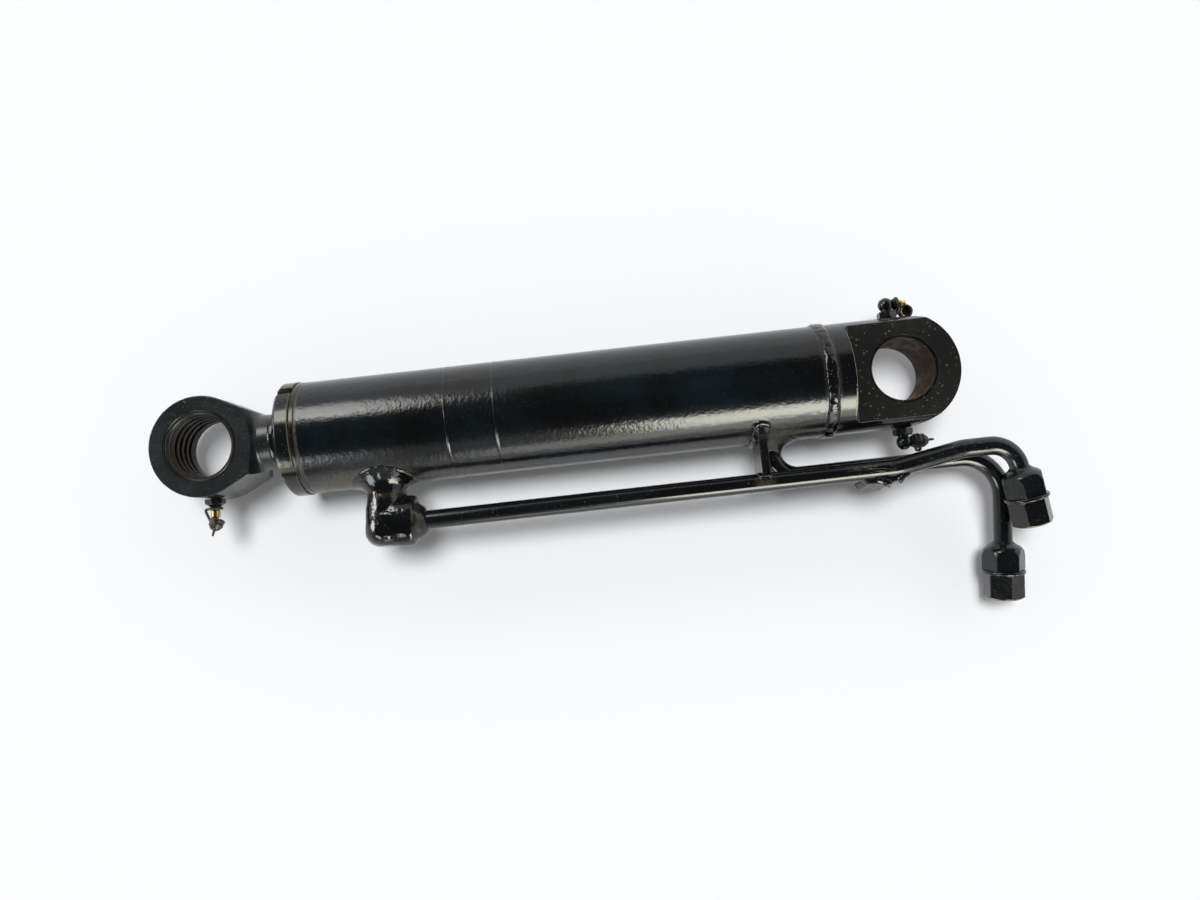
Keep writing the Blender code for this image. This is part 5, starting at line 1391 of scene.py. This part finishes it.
@dataclass
class Pipework:
    """The two pipes, what holds them, and the plugged connectors at their ends."""

    connector_across: float = 0.036
    plug_across: float = 0.034
    connector_length: float = 0.027
    ring_radius: float = 0.02075
    ring_width: float = 0.0035
    plug_length: float = 0.0255
    bracket_x: float = -0.144
    bracket_half: float = 0.004

    @staticmethod
    def long_route() -> list[Vector]:
        """From the elbow's collar to the long pipe's connector."""
        low, high, z = -PLAN.long_drop, -0.0820, PLAN.pipe_z
        corner = Vector((0.0995, high, z))
        down = Vector((math.tan(math.radians(8.8)), -1.0, -math.tan(math.radians(7))))
        corners = [
            Vector((PLAN.head_port_x + 0.028, low, z)),
            Vector((-0.015, low, z)),
            Vector((0.050, high, z)),
            corner,
            corner + down * 0.0245,
        ]
        return bent(corners, (0.060, 0.060, 0.027))

    @staticmethod
    def short_route() -> list[Vector]:
        """From the base port to the short pipe's connector."""
        level, z = -PLAN.short_drop, -PLAN.pipe_z
        reach = math.hypot(level, z)
        corner = Vector((0.0994, level, z))
        down = Vector((-math.tan(math.radians(4)), -1.0, -math.tan(math.radians(7))))
        corners = [
            PLAN.base_port @ Vector((PLAN.tube_radius + 0.0006, 0.0, 0.0)),
            PLAN.base_port @ Vector((reach, 0.0, 0.0)),
            corner,
            corner + down * 0.0885,
        ]
        return bent(corners, (0.02705, 0.040))

    def pipes(self, sweep: PathSweep) -> None:
        """The two painted steel pipes."""
        for name, route in (("long_pipe", self.long_route()), ("short_pipe", self.short_route())):
            paint = Paint(
                f"{name}_paint",
                roughness=0.15,
                peel=0.000010,
                specks=0.35,
                dust=(
                    Spot((self.bracket_x, -PLAN.long_drop, 0.024), (0.014, 0.010, 0.006), 0.5),
                    Spot((-0.026, -0.101, 0.012), (0.030, 0.004, 0.010), 0.6),
                ),
                scratches=(
                    Spot((-0.040, -0.093, 0.024), (0.030, 0.010, 0.006), 0.4),
                    Spot((0.030, -0.090, 0.020), (0.040, 0.010, 0.010), 0.2),
                ),
                marks=(45.0, 420.0, 300.0),
            )
            form = sweep.lay(route, (PLAN.pipe_radius, PLAN.pipe_radius), paint, 40)
            form.piece(f"{name}_bent", paint, Body.BARREL, [name], flat=False)

    def bracket(self, sweep: PathSweep) -> None:
        """The plate between tube and long pipe, with the beads that hold it."""
        x, half, z = self.bracket_x, self.bracket_half, PLAN.pipe_z
        foot = -PLAN.long_drop + 0.005
        plan = [(x - half, foot), (x + half, foot), (x + half, -0.0275), (x - half, -0.0275)]
        form = Form.prism(plan, z - 0.021, z + 0.021)
        form.cut(Form.rod(-0.2, -0.1, PLAN.tube_radius - 0.0003))
        form.rounded(0.0019, 4)
        paint = Paint(
            "bracket_paint",
            roughness=0.20,
            film=0.04,
            dust=(
                Spot((x - half, -0.072, z), (0.0012, 0.03, 0.03), 0.22),
                Spot((x, -0.050, 0.030), (0.012, 0.006, 0.012), 0.4),
            ),
        )
        form.piece("pipe_bracket_plate", paint, Body.BARREL, ["pipe_bracket"], others=[EDGE])
        weld = Paint("bracket_weld_paint", waves=0.0005, wave_scale=230.0, roughness=0.13, specks=0.6, film=0.03)
        radius = PLAN.tube_radius + 0.0006
        for side, seed in ((-1, 11.0), (1, 17.0)):
            edge = x + side * (half + 0.0008)
            angles = [math.radians(a) for a in range(134, 90, -2)]
            path = [Vector((edge, -radius * math.sin(a), -radius * math.cos(a))) for a in angles]
            bead = sweep.lay(path, (0.0040, 0.0040), weld, 16, (0.0024, 190.0, seed))
            bead.cast(0.0006, 4)
            bead.piece(f"bracket_tube_weld_{'left' if side < 0 else 'right'}", weld, Body.BARREL, flat=False)
            route = [Vector((edge, foot + 0.0030 - 0.0035 * math.sin(t * math.pi), z + 0.0015 + 0.0035 * t * 3)) for t in
                     [number / 8 for number in range(9)]]
            bead = sweep.lay(route, (0.0028, 0.0028), weld, 16, (0.0020, 210.0, seed + 1.0))
            bead.cast(0.0006, 4)
            bead.piece(f"bracket_pipe_weld_{'left' if side < 0 else 'right'}", weld, Body.BARREL, flat=False)

    def bracket_lobes(self, sweep: PathSweep) -> None:
        """The bead that wraps round the bracket's front corner in two lobes."""
        weld = Paint("bracket_lobe_paint", waves=0.0003, wave_scale=230.0, roughness=0.11, specks=0.6)
        seat = Vector((self.bracket_x, -0.0412, 0.0372))
        turns = [math.pi * step / 12 for step in range(13)]
        path = [seat + Vector((-0.0062 * math.cos(a), 0.0035 * math.sin(a), 0.0022 * math.sin(a))) for a in turns]
        bead = sweep.lay(path, (0.0031, 0.0031), weld, 16, (0.0024, 210.0, 31.0))
        bead.cast(0.0006, 3).piece("bracket_corner_weld", weld, Body.BARREL, flat=False)

    def tie_plate(self, sweep: PathSweep) -> None:
        """The bent plate across the two pipes and its welds."""
        top = -PLAN.pipe_radius + 0.003
        side = [
            (-0.050, top - 0.001),
            (-0.046, -0.0135),
            (-0.026, -0.0150),
            (-0.016, -0.0125),
            (-0.0062, -0.0045),
            (-0.008, top + 0.003),
            (-0.022, top),
            (-0.047, top),
        ]
        turn = math.atan2(0.0038, 0.030)
        place = Matrix.Translation((0.0, -PLAN.long_drop, PLAN.pipe_z)) @ Matrix.Rotation(-turn, 4, "X")
        form = Form.prism(side, -0.034, 0.004, place).rounded(0.0022, 4)
        form.cast(0.0008, 2).lumped(0.0007, 130.0)
        paint = Paint("tie_plate_paint", roughness=0.30, waves=0.0005, film=0.12, specks=0.4, shine=0.25)
        form.piece("pipe_tie_bent_plate", paint, Body.BARREL, ["pipe_tie_plate"], flat=False)
        weld = Paint("tie_weld_paint", waves=0.0006, wave_scale=230.0, roughness=0.13, specks=0.7, film=0.04,
                     chips=(Spot((-0.028, -PLAN.long_drop - 0.015, 0.020), (0.006, 0.004, 0.006), 0.45),))
        beads = (
            ("front", (-0.037, -0.0085), (-0.024, -0.0140), 0.0046, 23.0),
            ("end", (-0.0165, -0.0125), (-0.0062, -0.0045), 0.0036, 27.0),
        )
        for side_name, start, finish, half, seed in beads:
            ends = [Vector((x, y - PLAN.long_drop, PLAN.pipe_z + 0.0030)) for x, y in (start, finish)]
            path = [ends[0].lerp(ends[1], step / 8) for step in range(9)]
            bead = sweep.lay(path, (half, half), weld, 16, (0.0040, 170.0, seed))
            bead.cast(0.0006, 3).piece(f"tie_plate_weld_{side_name}", weld, Body.BARREL, flat=False)
        path = [Vector((-0.040 + 0.0024 * n, -PLAN.short_drop - 0.0085, -PLAN.pipe_z - 0.0042)) for n in range(13)]
        bead = sweep.lay(path, (0.0026, 0.0026), weld, 16, (0.0024, 200.0, 29.0))
        bead.cast(0.0006, 4).piece("tie_plate_weld_back", weld, Body.BARREL, flat=False)

    def fitting(self, prefix: str, route: list[Vector], connector_turn: float, plug_turn: float) -> None:
        """One connector with its ring and its plug."""
        place = facing(route[-1], route[-1] - route[-2])
        stood = place @ Matrix.Rotation(math.radians(connector_turn), 4, "X")
        across = self.connector_across
        corner = across / math.sqrt(3) * 0.985
        length = self.connector_length
        outline = [
            (-0.001, PLAN.pipe_radius + 0.0002),
            (-0.001, 0.0098),
            (0.0010, 0.0112),
            (0.0024, 0.0138),
            (0.0044, 0.0168),
            (0.0070, 0.0190),
            (0.0100, corner - 0.0008),
            (0.0125, corner),
            (length, corner),
            (length, 0.0123),
            (length - 0.0113, 0.0123),
            (length - 0.0113, 0.0065),
            (PLAN.gap, 0.0065),
            (PLAN.gap, PLAN.pipe_radius + 0.0002),
        ]
        form = Form.turned(eased(outline, 0.0012), stood)
        form.keep(Form.hexagon(across, -0.01, length + 0.01, stood))
        form.rounded(0.0005, 2, math.radians(32))
        paint = Paint(f"{prefix}_connector_paint", roughness=0.18, specks=0.12, film=0.01, waves=0.00030,
                      dust=(Spot(tuple(route[-1]), (0.012, 0.004, 0.012), 0.3),))
        form.piece(f"{prefix}_hex_connector", paint, Body.BARREL, [f"{prefix}_connector"], others=[EDGE])
        start = length + PLAN.gap
        end = start + self.ring_width
        outline = [(start, 0.0123), (start, self.ring_radius), (end, self.ring_radius), (end, 0.0123)]
        ring = Form.turned(eased(outline, 0.0014, 4), place)
        ring_paint = Paint(f"{prefix}_ring_paint", roughness=0.16, specks=0.3, waves=0.0002, chip_scale=800.0,
                           chips=(Spot(tuple(place @ Vector((end, 0.008, 0.02))), (0.02, 0.005, 0.006), 0.45),))
        ring.piece(f"{prefix}_sealing_ring", ring_paint, Body.BARREL, [f"{prefix}_seal_ring"])
        stood = place @ Matrix.Rotation(math.radians(plug_turn), 4, "X")
        across = self.plug_across
        corner = across / math.sqrt(3) * 0.985
        head = end + PLAN.gap
        finish = head + self.plug_length
        outline = [
            (length - 0.011, 0.0),
            (length - 0.011, 0.012),
            (head, 0.012),
            (head, corner),
            (finish - 0.0022, corner),
            (finish, corner - 0.0044),
            (finish, 0.0),
        ]
        form = Form.turned(outline, stood)
        form.keep(Form.hexagon(across, -0.01, finish + 0.01, stood))
        form.rounded(0.0005, 2, math.radians(32))
        paint = Paint(f"{prefix}_plug_paint", roughness=0.18, specks=0.25, film=0.02, waves=0.00035, wave_scale=140.0)
        form.piece(f"{prefix}_hex_plug", paint, Body.BARREL, [f"{prefix}_plug"], others=[CHIPPED_EDGE])

    def build(self, sweep: PathSweep) -> None:
        """Makes the pipes and everything on them."""
        self.pipes(sweep)
        self.bracket(sweep)
        self.bracket_lobes(sweep)
        self.tie_plate(sweep)
        self.fitting("long_pipe", self.long_route(), -34.0, -23.0)
        self.fitting("short_pipe", self.short_route(), -20.0, 3.0)


@dataclass
class GreaseFittings:
    """The three grease fittings with their brass nipples and rubber caps."""

    hex_across: float = 0.017
    ball_radius: float = 0.0073
    ball_height: float = 0.0135
    loop_radius: float = 0.0072
    neck_radius: float = 0.0046
    cap_radius: float = 0.0074
    cap_length: float = 0.0105
    strap_radius: float = 0.0013

    def nipple(self, name: str, place: Matrix, radius: float, collar: float, body: Body, node: str) -> None:
        """A brass nipple with a collar and a round head."""
        outline = [
            (-0.0045, 0.0), (-0.0045, 0.0028), (0.0003, 0.0028), (0.0003, radius), (collar, radius),
            (collar + 0.0012, 0.0022), (collar + 0.0022, 0.0024), (collar + 0.0034, 0.0033),
            (collar + 0.0042, 0.0028), (collar + 0.0045, 0.0012), (collar + 0.0045, 0.0),
        ]
        form = Form.turned(eased(outline, 0.0006), place, SMALL_ROUND)
        if collar > 0.005:
            form.keep(Form.hexagon(radius * 2, -0.02, 0.03, place))
            form.rounded(0.0003, 2)
        form.piece(name, BRASS, body, [node])

    def cap(self, name: str, loop: Matrix, cap: Matrix, strap: list[Vector], body: Body, node: str, sweep: PathSweep) -> None:
        """A rubber cup with a tail, its strap and its loop, moulded in one."""
        bore, floor = self.cap_radius - 0.0020, self.cap_length - 0.0020
        tail = self.cap_length + 0.0065
        outline = [
            (floor, 0.0), (floor, bore), (0.0, bore), (0.0, self.cap_radius), (0.0022, self.cap_radius),
            (0.0032, self.cap_radius - 0.0008), (0.0063, self.cap_radius - 0.0006), (self.cap_length, self.cap_radius * 0.52),
            (self.cap_length + 0.0004, 0.0014), (tail, 0.0010), (tail, 0.0),
        ]
        form = Form.turned(eased(outline, 0.0007), cap, SMALL_ROUND)
        band = [(-0.00125, self.neck_radius + 0.0005), (-0.00125, self.loop_radius), (0.00125, self.loop_radius),
                (0.00125, self.neck_radius + 0.0005)]
        ring = Form.turned(eased(band, 0.0006), loop, SMALL_ROUND)
        tie = sweep.lay(bent(strap, [0.0014] * (len(strap) - 2), 0.0006), (self.strap_radius, self.strap_radius), CAP_RUBBER, 12)
        form.cast(0.00038, 3, ring, tie)
        form.piece(name, CAP_RUBBER, body, [node], flat=False)

    def base_elbow(self, prefix: str, sign: int) -> Vector:
        """An elbow in the base lug, with its nipple along +X. Returns where its cap's loop is."""
        up = Y_AXIS * sign
        foot = up * (PLAN.tube_radius + PLAN.gap)
        place = facing(foot, up)
        across = self.hex_across
        corner = across / math.sqrt(3) * 0.985
        stem = [
            (-0.0084, 0.0), (-0.0084, 0.0047), (0.0003, 0.0047), (0.0003, corner), (0.0052, corner), (0.0070, across / 2 - 0.0012),
            (0.0070, 0.0050), (self.ball_height, 0.0050), (self.ball_height, 0.0),
        ]
        form = Form.turned(eased(stem, 0.0005), place, SMALL_ROUND)
        form.keep(Form.hexagon(across, -0.02, 0.03, place)).rounded(0.0004, 2)
        centre = foot + up * self.ball_height
        nozzle = facing(centre, X_AXIS)
        ball = arc((0.0, 0.0), self.ball_radius, math.pi, math.pi / 6, 16)
        reach = 0.0122
        outline = [
            (-self.ball_radius, 0.0), *ball[1:], (0.0066, 0.0052), (0.0090, 0.0060), (0.0090, self.neck_radius),
            (reach, self.neck_radius), (reach, 0.0031), (reach - 0.0048, 0.0031), (reach - 0.0048, 0.0),
        ]
        form.join(Form.turned(outline, nozzle, SMALL_ROUND))
        paint = Paint(f"{prefix}_elbow_paint", roughness=0.16, film=0.03, specks=0.4, waves=0.0002)
        form.piece(f"{prefix}_grease_ball_elbow", paint, Body.BARREL, [f"{prefix}_grease_elbow"], others=[EDGE])
        tip = facing(centre + X_AXIS * reach, X_AXIS)
        self.nipple(f"{prefix}_brass_nipple", tip, 0.0038, 0.0035, Body.BARREL, f"{prefix}_grease_nipple")
        return centre + X_AXIS * (reach - 0.0016)

    def base_sets(self, sweep: PathSweep) -> None:
        """The capped set below the lug in the picture and the open one above it."""
        middle = (self.neck_radius + self.loop_radius) / 2
        side = self.cap_radius - 0.001
        loop = self.base_elbow("base_bottom", -1)
        rim = loop + X_AXIS * 0.00205
        bulge = self.loop_radius + 0.0022
        strap = [
            loop - Y_AXIS * middle,
            loop - Y_AXIS * bulge,
            rim - Y_AXIS * bulge + X_AXIS * 0.0025,
            rim - Y_AXIS * side + X_AXIS * 0.0025,
        ]
        self.cap("base_bottom_rubber_cap", facing(loop, X_AXIS), facing(rim, X_AXIS), strap, Body.BARREL,
                 "base_bottom_grease_cap", sweep)
        loop = self.base_elbow("base_top", 1)
        axis = Vector((0.55, 0.20, -0.80)).normalized()
        mouth = loop + Vector((0.0098, -0.0072, -0.0058))
        toward = (loop - mouth - axis * axis.dot(loop - mouth)).normalized()
        start = loop - Y_AXIS * middle
        strap = [start, start - Y_AXIS * 0.0048, mouth + toward * side + axis * 0.0025]
        self.cap("base_top_rubber_cap", facing(loop, X_AXIS), facing(mouth, axis), strap, Body.BARREL,
                 "base_top_grease_cap", sweep)

    def eye_set(self, sweep: PathSweep) -> None:
        """The straight adaptor under the eye, its nipple, and the cap pulled half off it."""
        turn = math.radians(2)
        down = Vector((-math.sin(turn), -math.cos(turn), 0.0))
        foot = Vector((PLAN.eye_x, 0.0, 0.0)) + down * 0.0493
        place = facing(foot, down)
        across = self.hex_across
        corner = across / math.sqrt(3) * 0.985
        reach = 0.0114
        outline = [
            (-0.0084, 0.0), (-0.0084, 0.0047), (0.0003, 0.0047), (0.0003, corner), (0.0049, corner),
            (0.0082, self.neck_radius), (reach, self.neck_radius), (reach, 0.0031), (reach - 0.0048, 0.0031),
            (reach - 0.0048, 0.0),
        ]
        form = Form.turned(eased(outline, 0.0005), place, SMALL_ROUND)
        form.keep(Form.hexagon(across, -0.02, 0.03, place)).rounded(0.0004, 2)
        paint = Paint("eye_adaptor_paint", roughness=0.22, film=0.06, specks=0.5)
        form.piece("rod_eye_hex_adaptor", paint, Body.ROD, ["rod_eye_grease_adaptor"], others=[EDGE])
        tip = facing(foot + down * reach, down)
        self.nipple("rod_eye_brass_nipple", tip, 0.0043, 0.0068, Body.ROD, "rod_eye_grease_nipple")
        loop = foot + down * (reach - 0.0016)
        axis = Vector((-0.22, -0.88, 0.30)).normalized()
        mouth = loop + Vector((0.0010, -0.0112, 0.0))
        toward = (-X_AXIS + axis * axis.dot(X_AXIS)).normalized()
        start = loop - X_AXIS * (self.neck_radius + self.loop_radius) / 2
        strap = [start, start - X_AXIS * 0.0048, mouth + toward * (self.cap_radius - 0.001) + axis * 0.0025]
        self.cap("rod_eye_rubber_cap", facing(loop, down), facing(mouth, axis), strap, Body.ROD,
                 "rod_eye_grease_cap", sweep)

    def build(self, sweep: PathSweep) -> None:
        """Makes the three sets."""
        self.base_sets(sweep)
        self.eye_set(sweep)


@dataclass
class InnerParts:
    """The parts inside the tube, which keep their CAD shape and get their real finishes."""

    def build(self) -> None:
        """Gives each inner node its material."""
        finishes: dict[str, Finish] = {
            "gland_wear_bush": BRONZE,
            "gland_buffer_seal": SEAL_BLUE,
            "gland_rod_seal": SEAL_BLUE,
            "gland_backup_ring": SEAL_BLUE,
            "gland_o_ring": RUBBER,
            "piston": IRON,
            "piston_o_ring": RUBBER,
            "piston_nut": TURNED_STEEL,
            "piston_lock_screw": TURNED_STEEL,
            "piston_seal": SEAL_BLUE,
            "piston_wear_ring_front": WEAR_BROWN,
            "piston_wear_ring_back": WEAR_BROWN,
        }
        for name, finish in finishes.items():
            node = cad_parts[name]
            for slot in node.material_slots:
                slot.link = "OBJECT"
                slot.material = finish.material()
            LOG.info("%s: CAD shape with a new finish", name)


@dataclass
class Studio:
    """The camera, the pale floor and the light."""

    lens: float = 27.08
    floor_z: float = -0.0582
    sun: float = 2.4
    pale: Colour = (0.910, 0.922, 0.940)

    def camera(self) -> None:
        """The camera at the photograph's angle."""
        data = bpy.data.cameras.new("camera")
        data.sensor_width = 36.0
        data.lens = self.lens
        data.clip_start, data.clip_end = 0.01, 50.0
        camera = bpy.data.objects.new("camera", data)
        right = Vector((0.99391, -0.10987, -0.0088)).normalized()
        back = Vector((-0.00075, -0.0795, 0.9968))
        back = (back - right * back.dot(right)).normalized()
        turn = Matrix((right, back.cross(right), back)).transposed().to_4x4()
        camera.matrix_world = Matrix.Translation((-0.297917, -0.11414, 0.88671)) @ turn
        bpy.context.scene.collection.objects.link(camera)
        bpy.context.scene.camera = camera

    def floor(self) -> None:
        """A plain pale floor."""
        mesh = bmesh.new()
        bmesh.ops.create_grid(mesh, x_segments=1, y_segments=1, size=30.0)
        data = bpy.data.meshes.new("floor")
        mesh.to_mesh(data)
        mesh.free()
        data.transform(Matrix.Translation((0.0, 0.0, self.floor_z)))
        floor = bpy.data.objects.new("floor", data)
        bpy.context.scene.collection.objects.link(floor)
        graph = Graph("pale_floor")
        data.materials.append(graph.dress({"Base Color": self.pale, "Roughness": 0.9, "Specular IOR Level": 0.0}))

    @staticmethod
    def lamp(name: str, place: Point3, aim: Point3, size: Point, power: float, colour: Colour) -> None:
        """A soft lamp that shows in reflections only.

        Args:
            name: Its name.
            place: Where it stands.
            aim: The point that it faces.
            size: Its width and height.
            power: Its power in watts.
            colour: The colour of its light.
        """
        data = bpy.data.lights.new(name, "AREA")
        data.shape = "RECTANGLE"
        data.size, data.size_y = size
        data.energy = power
        data.color = colour
        lamp = bpy.data.objects.new(name, data)
        lamp.location = place
        lamp.rotation_mode = "QUATERNION"
        lamp.rotation_quaternion = (Vector(aim) - Vector(place)).to_track_quat("-Z", "Y")
        lamp.visible_diffuse = False
        lamp.visible_camera = False
        bpy.context.scene.collection.objects.link(lamp)

    def sky(self) -> None:
        """A pale room with a dark ceiling, brighter at +Y, whose walls show in the paint."""
        world = bpy.data.worlds.new("studio")
        bpy.context.scene.world = world
        graph = Graph("studio", world)
        side, height = graph.along(1), graph.along(2)
        wall = 0.36 + side.ramp(-0.3, 0.4) * 0.40 + graph.along(0).ramp(0.2, 0.7) * 0.35
        wall = wall + height.ramp(0.16, 0.02) * 0.3
        upper = 0.045 + wall * height.ramp(0.73, 0.58)
        glow = graph.node("ShaderNodeCombineColor", {}, {0: upper, 1: upper, 2: upper})
        graph.feed(graph.shader.inputs[0], glow.outputs[0])

    def light(self) -> None:
        """A high soft sun, and two softboxes that show in the paint."""
        data = bpy.data.lights.new("high_sun", "SUN")
        data.energy = self.sun
        data.angle = math.radians(22)
        sun = bpy.data.objects.new("high_sun", data)
        sun.rotation_mode = "QUATERNION"
        sun.rotation_quaternion = Vector((0.04, -0.20, -0.98)).to_track_quat("-Z", "Y")
        sun.visible_glossy = False
        bpy.context.scene.collection.objects.link(sun)
        self.lamp("softbox_left", (-1.55, 1.80, 1.84), (-0.5, 0.0, 0.0), (1.15, 1.0), 26.0, (1.0, 1.0, 0.94))
        self.lamp("softbox_end", (-2.28, 0.42, 0.86), (-0.51, -0.08, 0.05), (0.60, 0.60), 16.0, (1.0, 1.0, 0.97))
        self.lamp("softbox_high", (-1.09, 1.11, 1.66), (-0.51, -0.09, 0.05), (0.28, 0.28), 2.4, (1.0, 1.0, 0.97))
        self.lamp("softbox_low", (-1.95, -1.85, 1.25), (-0.6, 0.0, 0.03), (1.1, 1.0), 26.0, (0.9, 0.97, 1.0))
        self.lamp("softbox_skirt", (0.25, -2.60, 0.50), (-0.2, 0.0, 0.0), (2.2, 0.8), 15.0, (1.0, 0.99, 0.92))
        self.lamp("softbox_right", (0.55, -2.39, 1.43), (-0.1, 0.0, 0.0), (1.3, 1.15), 66.0, (1.0, 1.0, 0.87))

    def build(self) -> None:
        """Sets the stage."""
        self.camera()
        self.floor()
        self.sky()
        self.light()
        bpy.context.scene.view_settings.view_transform = "Standard"


def main() -> None:
    """Builds the sub-assemblies in order."""
    logging.basicConfig(level=logging.INFO, format="%(name)s: %(message)s")
    Studio().build()
    sweep = PathSweep()
    Tube().build(sweep)
    BaseLug().build()
    GlandHead().build()
    RodEnd().build(sweep)
    Pipework().build(sweep)
    GreaseFittings().build(sweep)
    InnerParts().build()


if __name__ == "__main__":
    main()
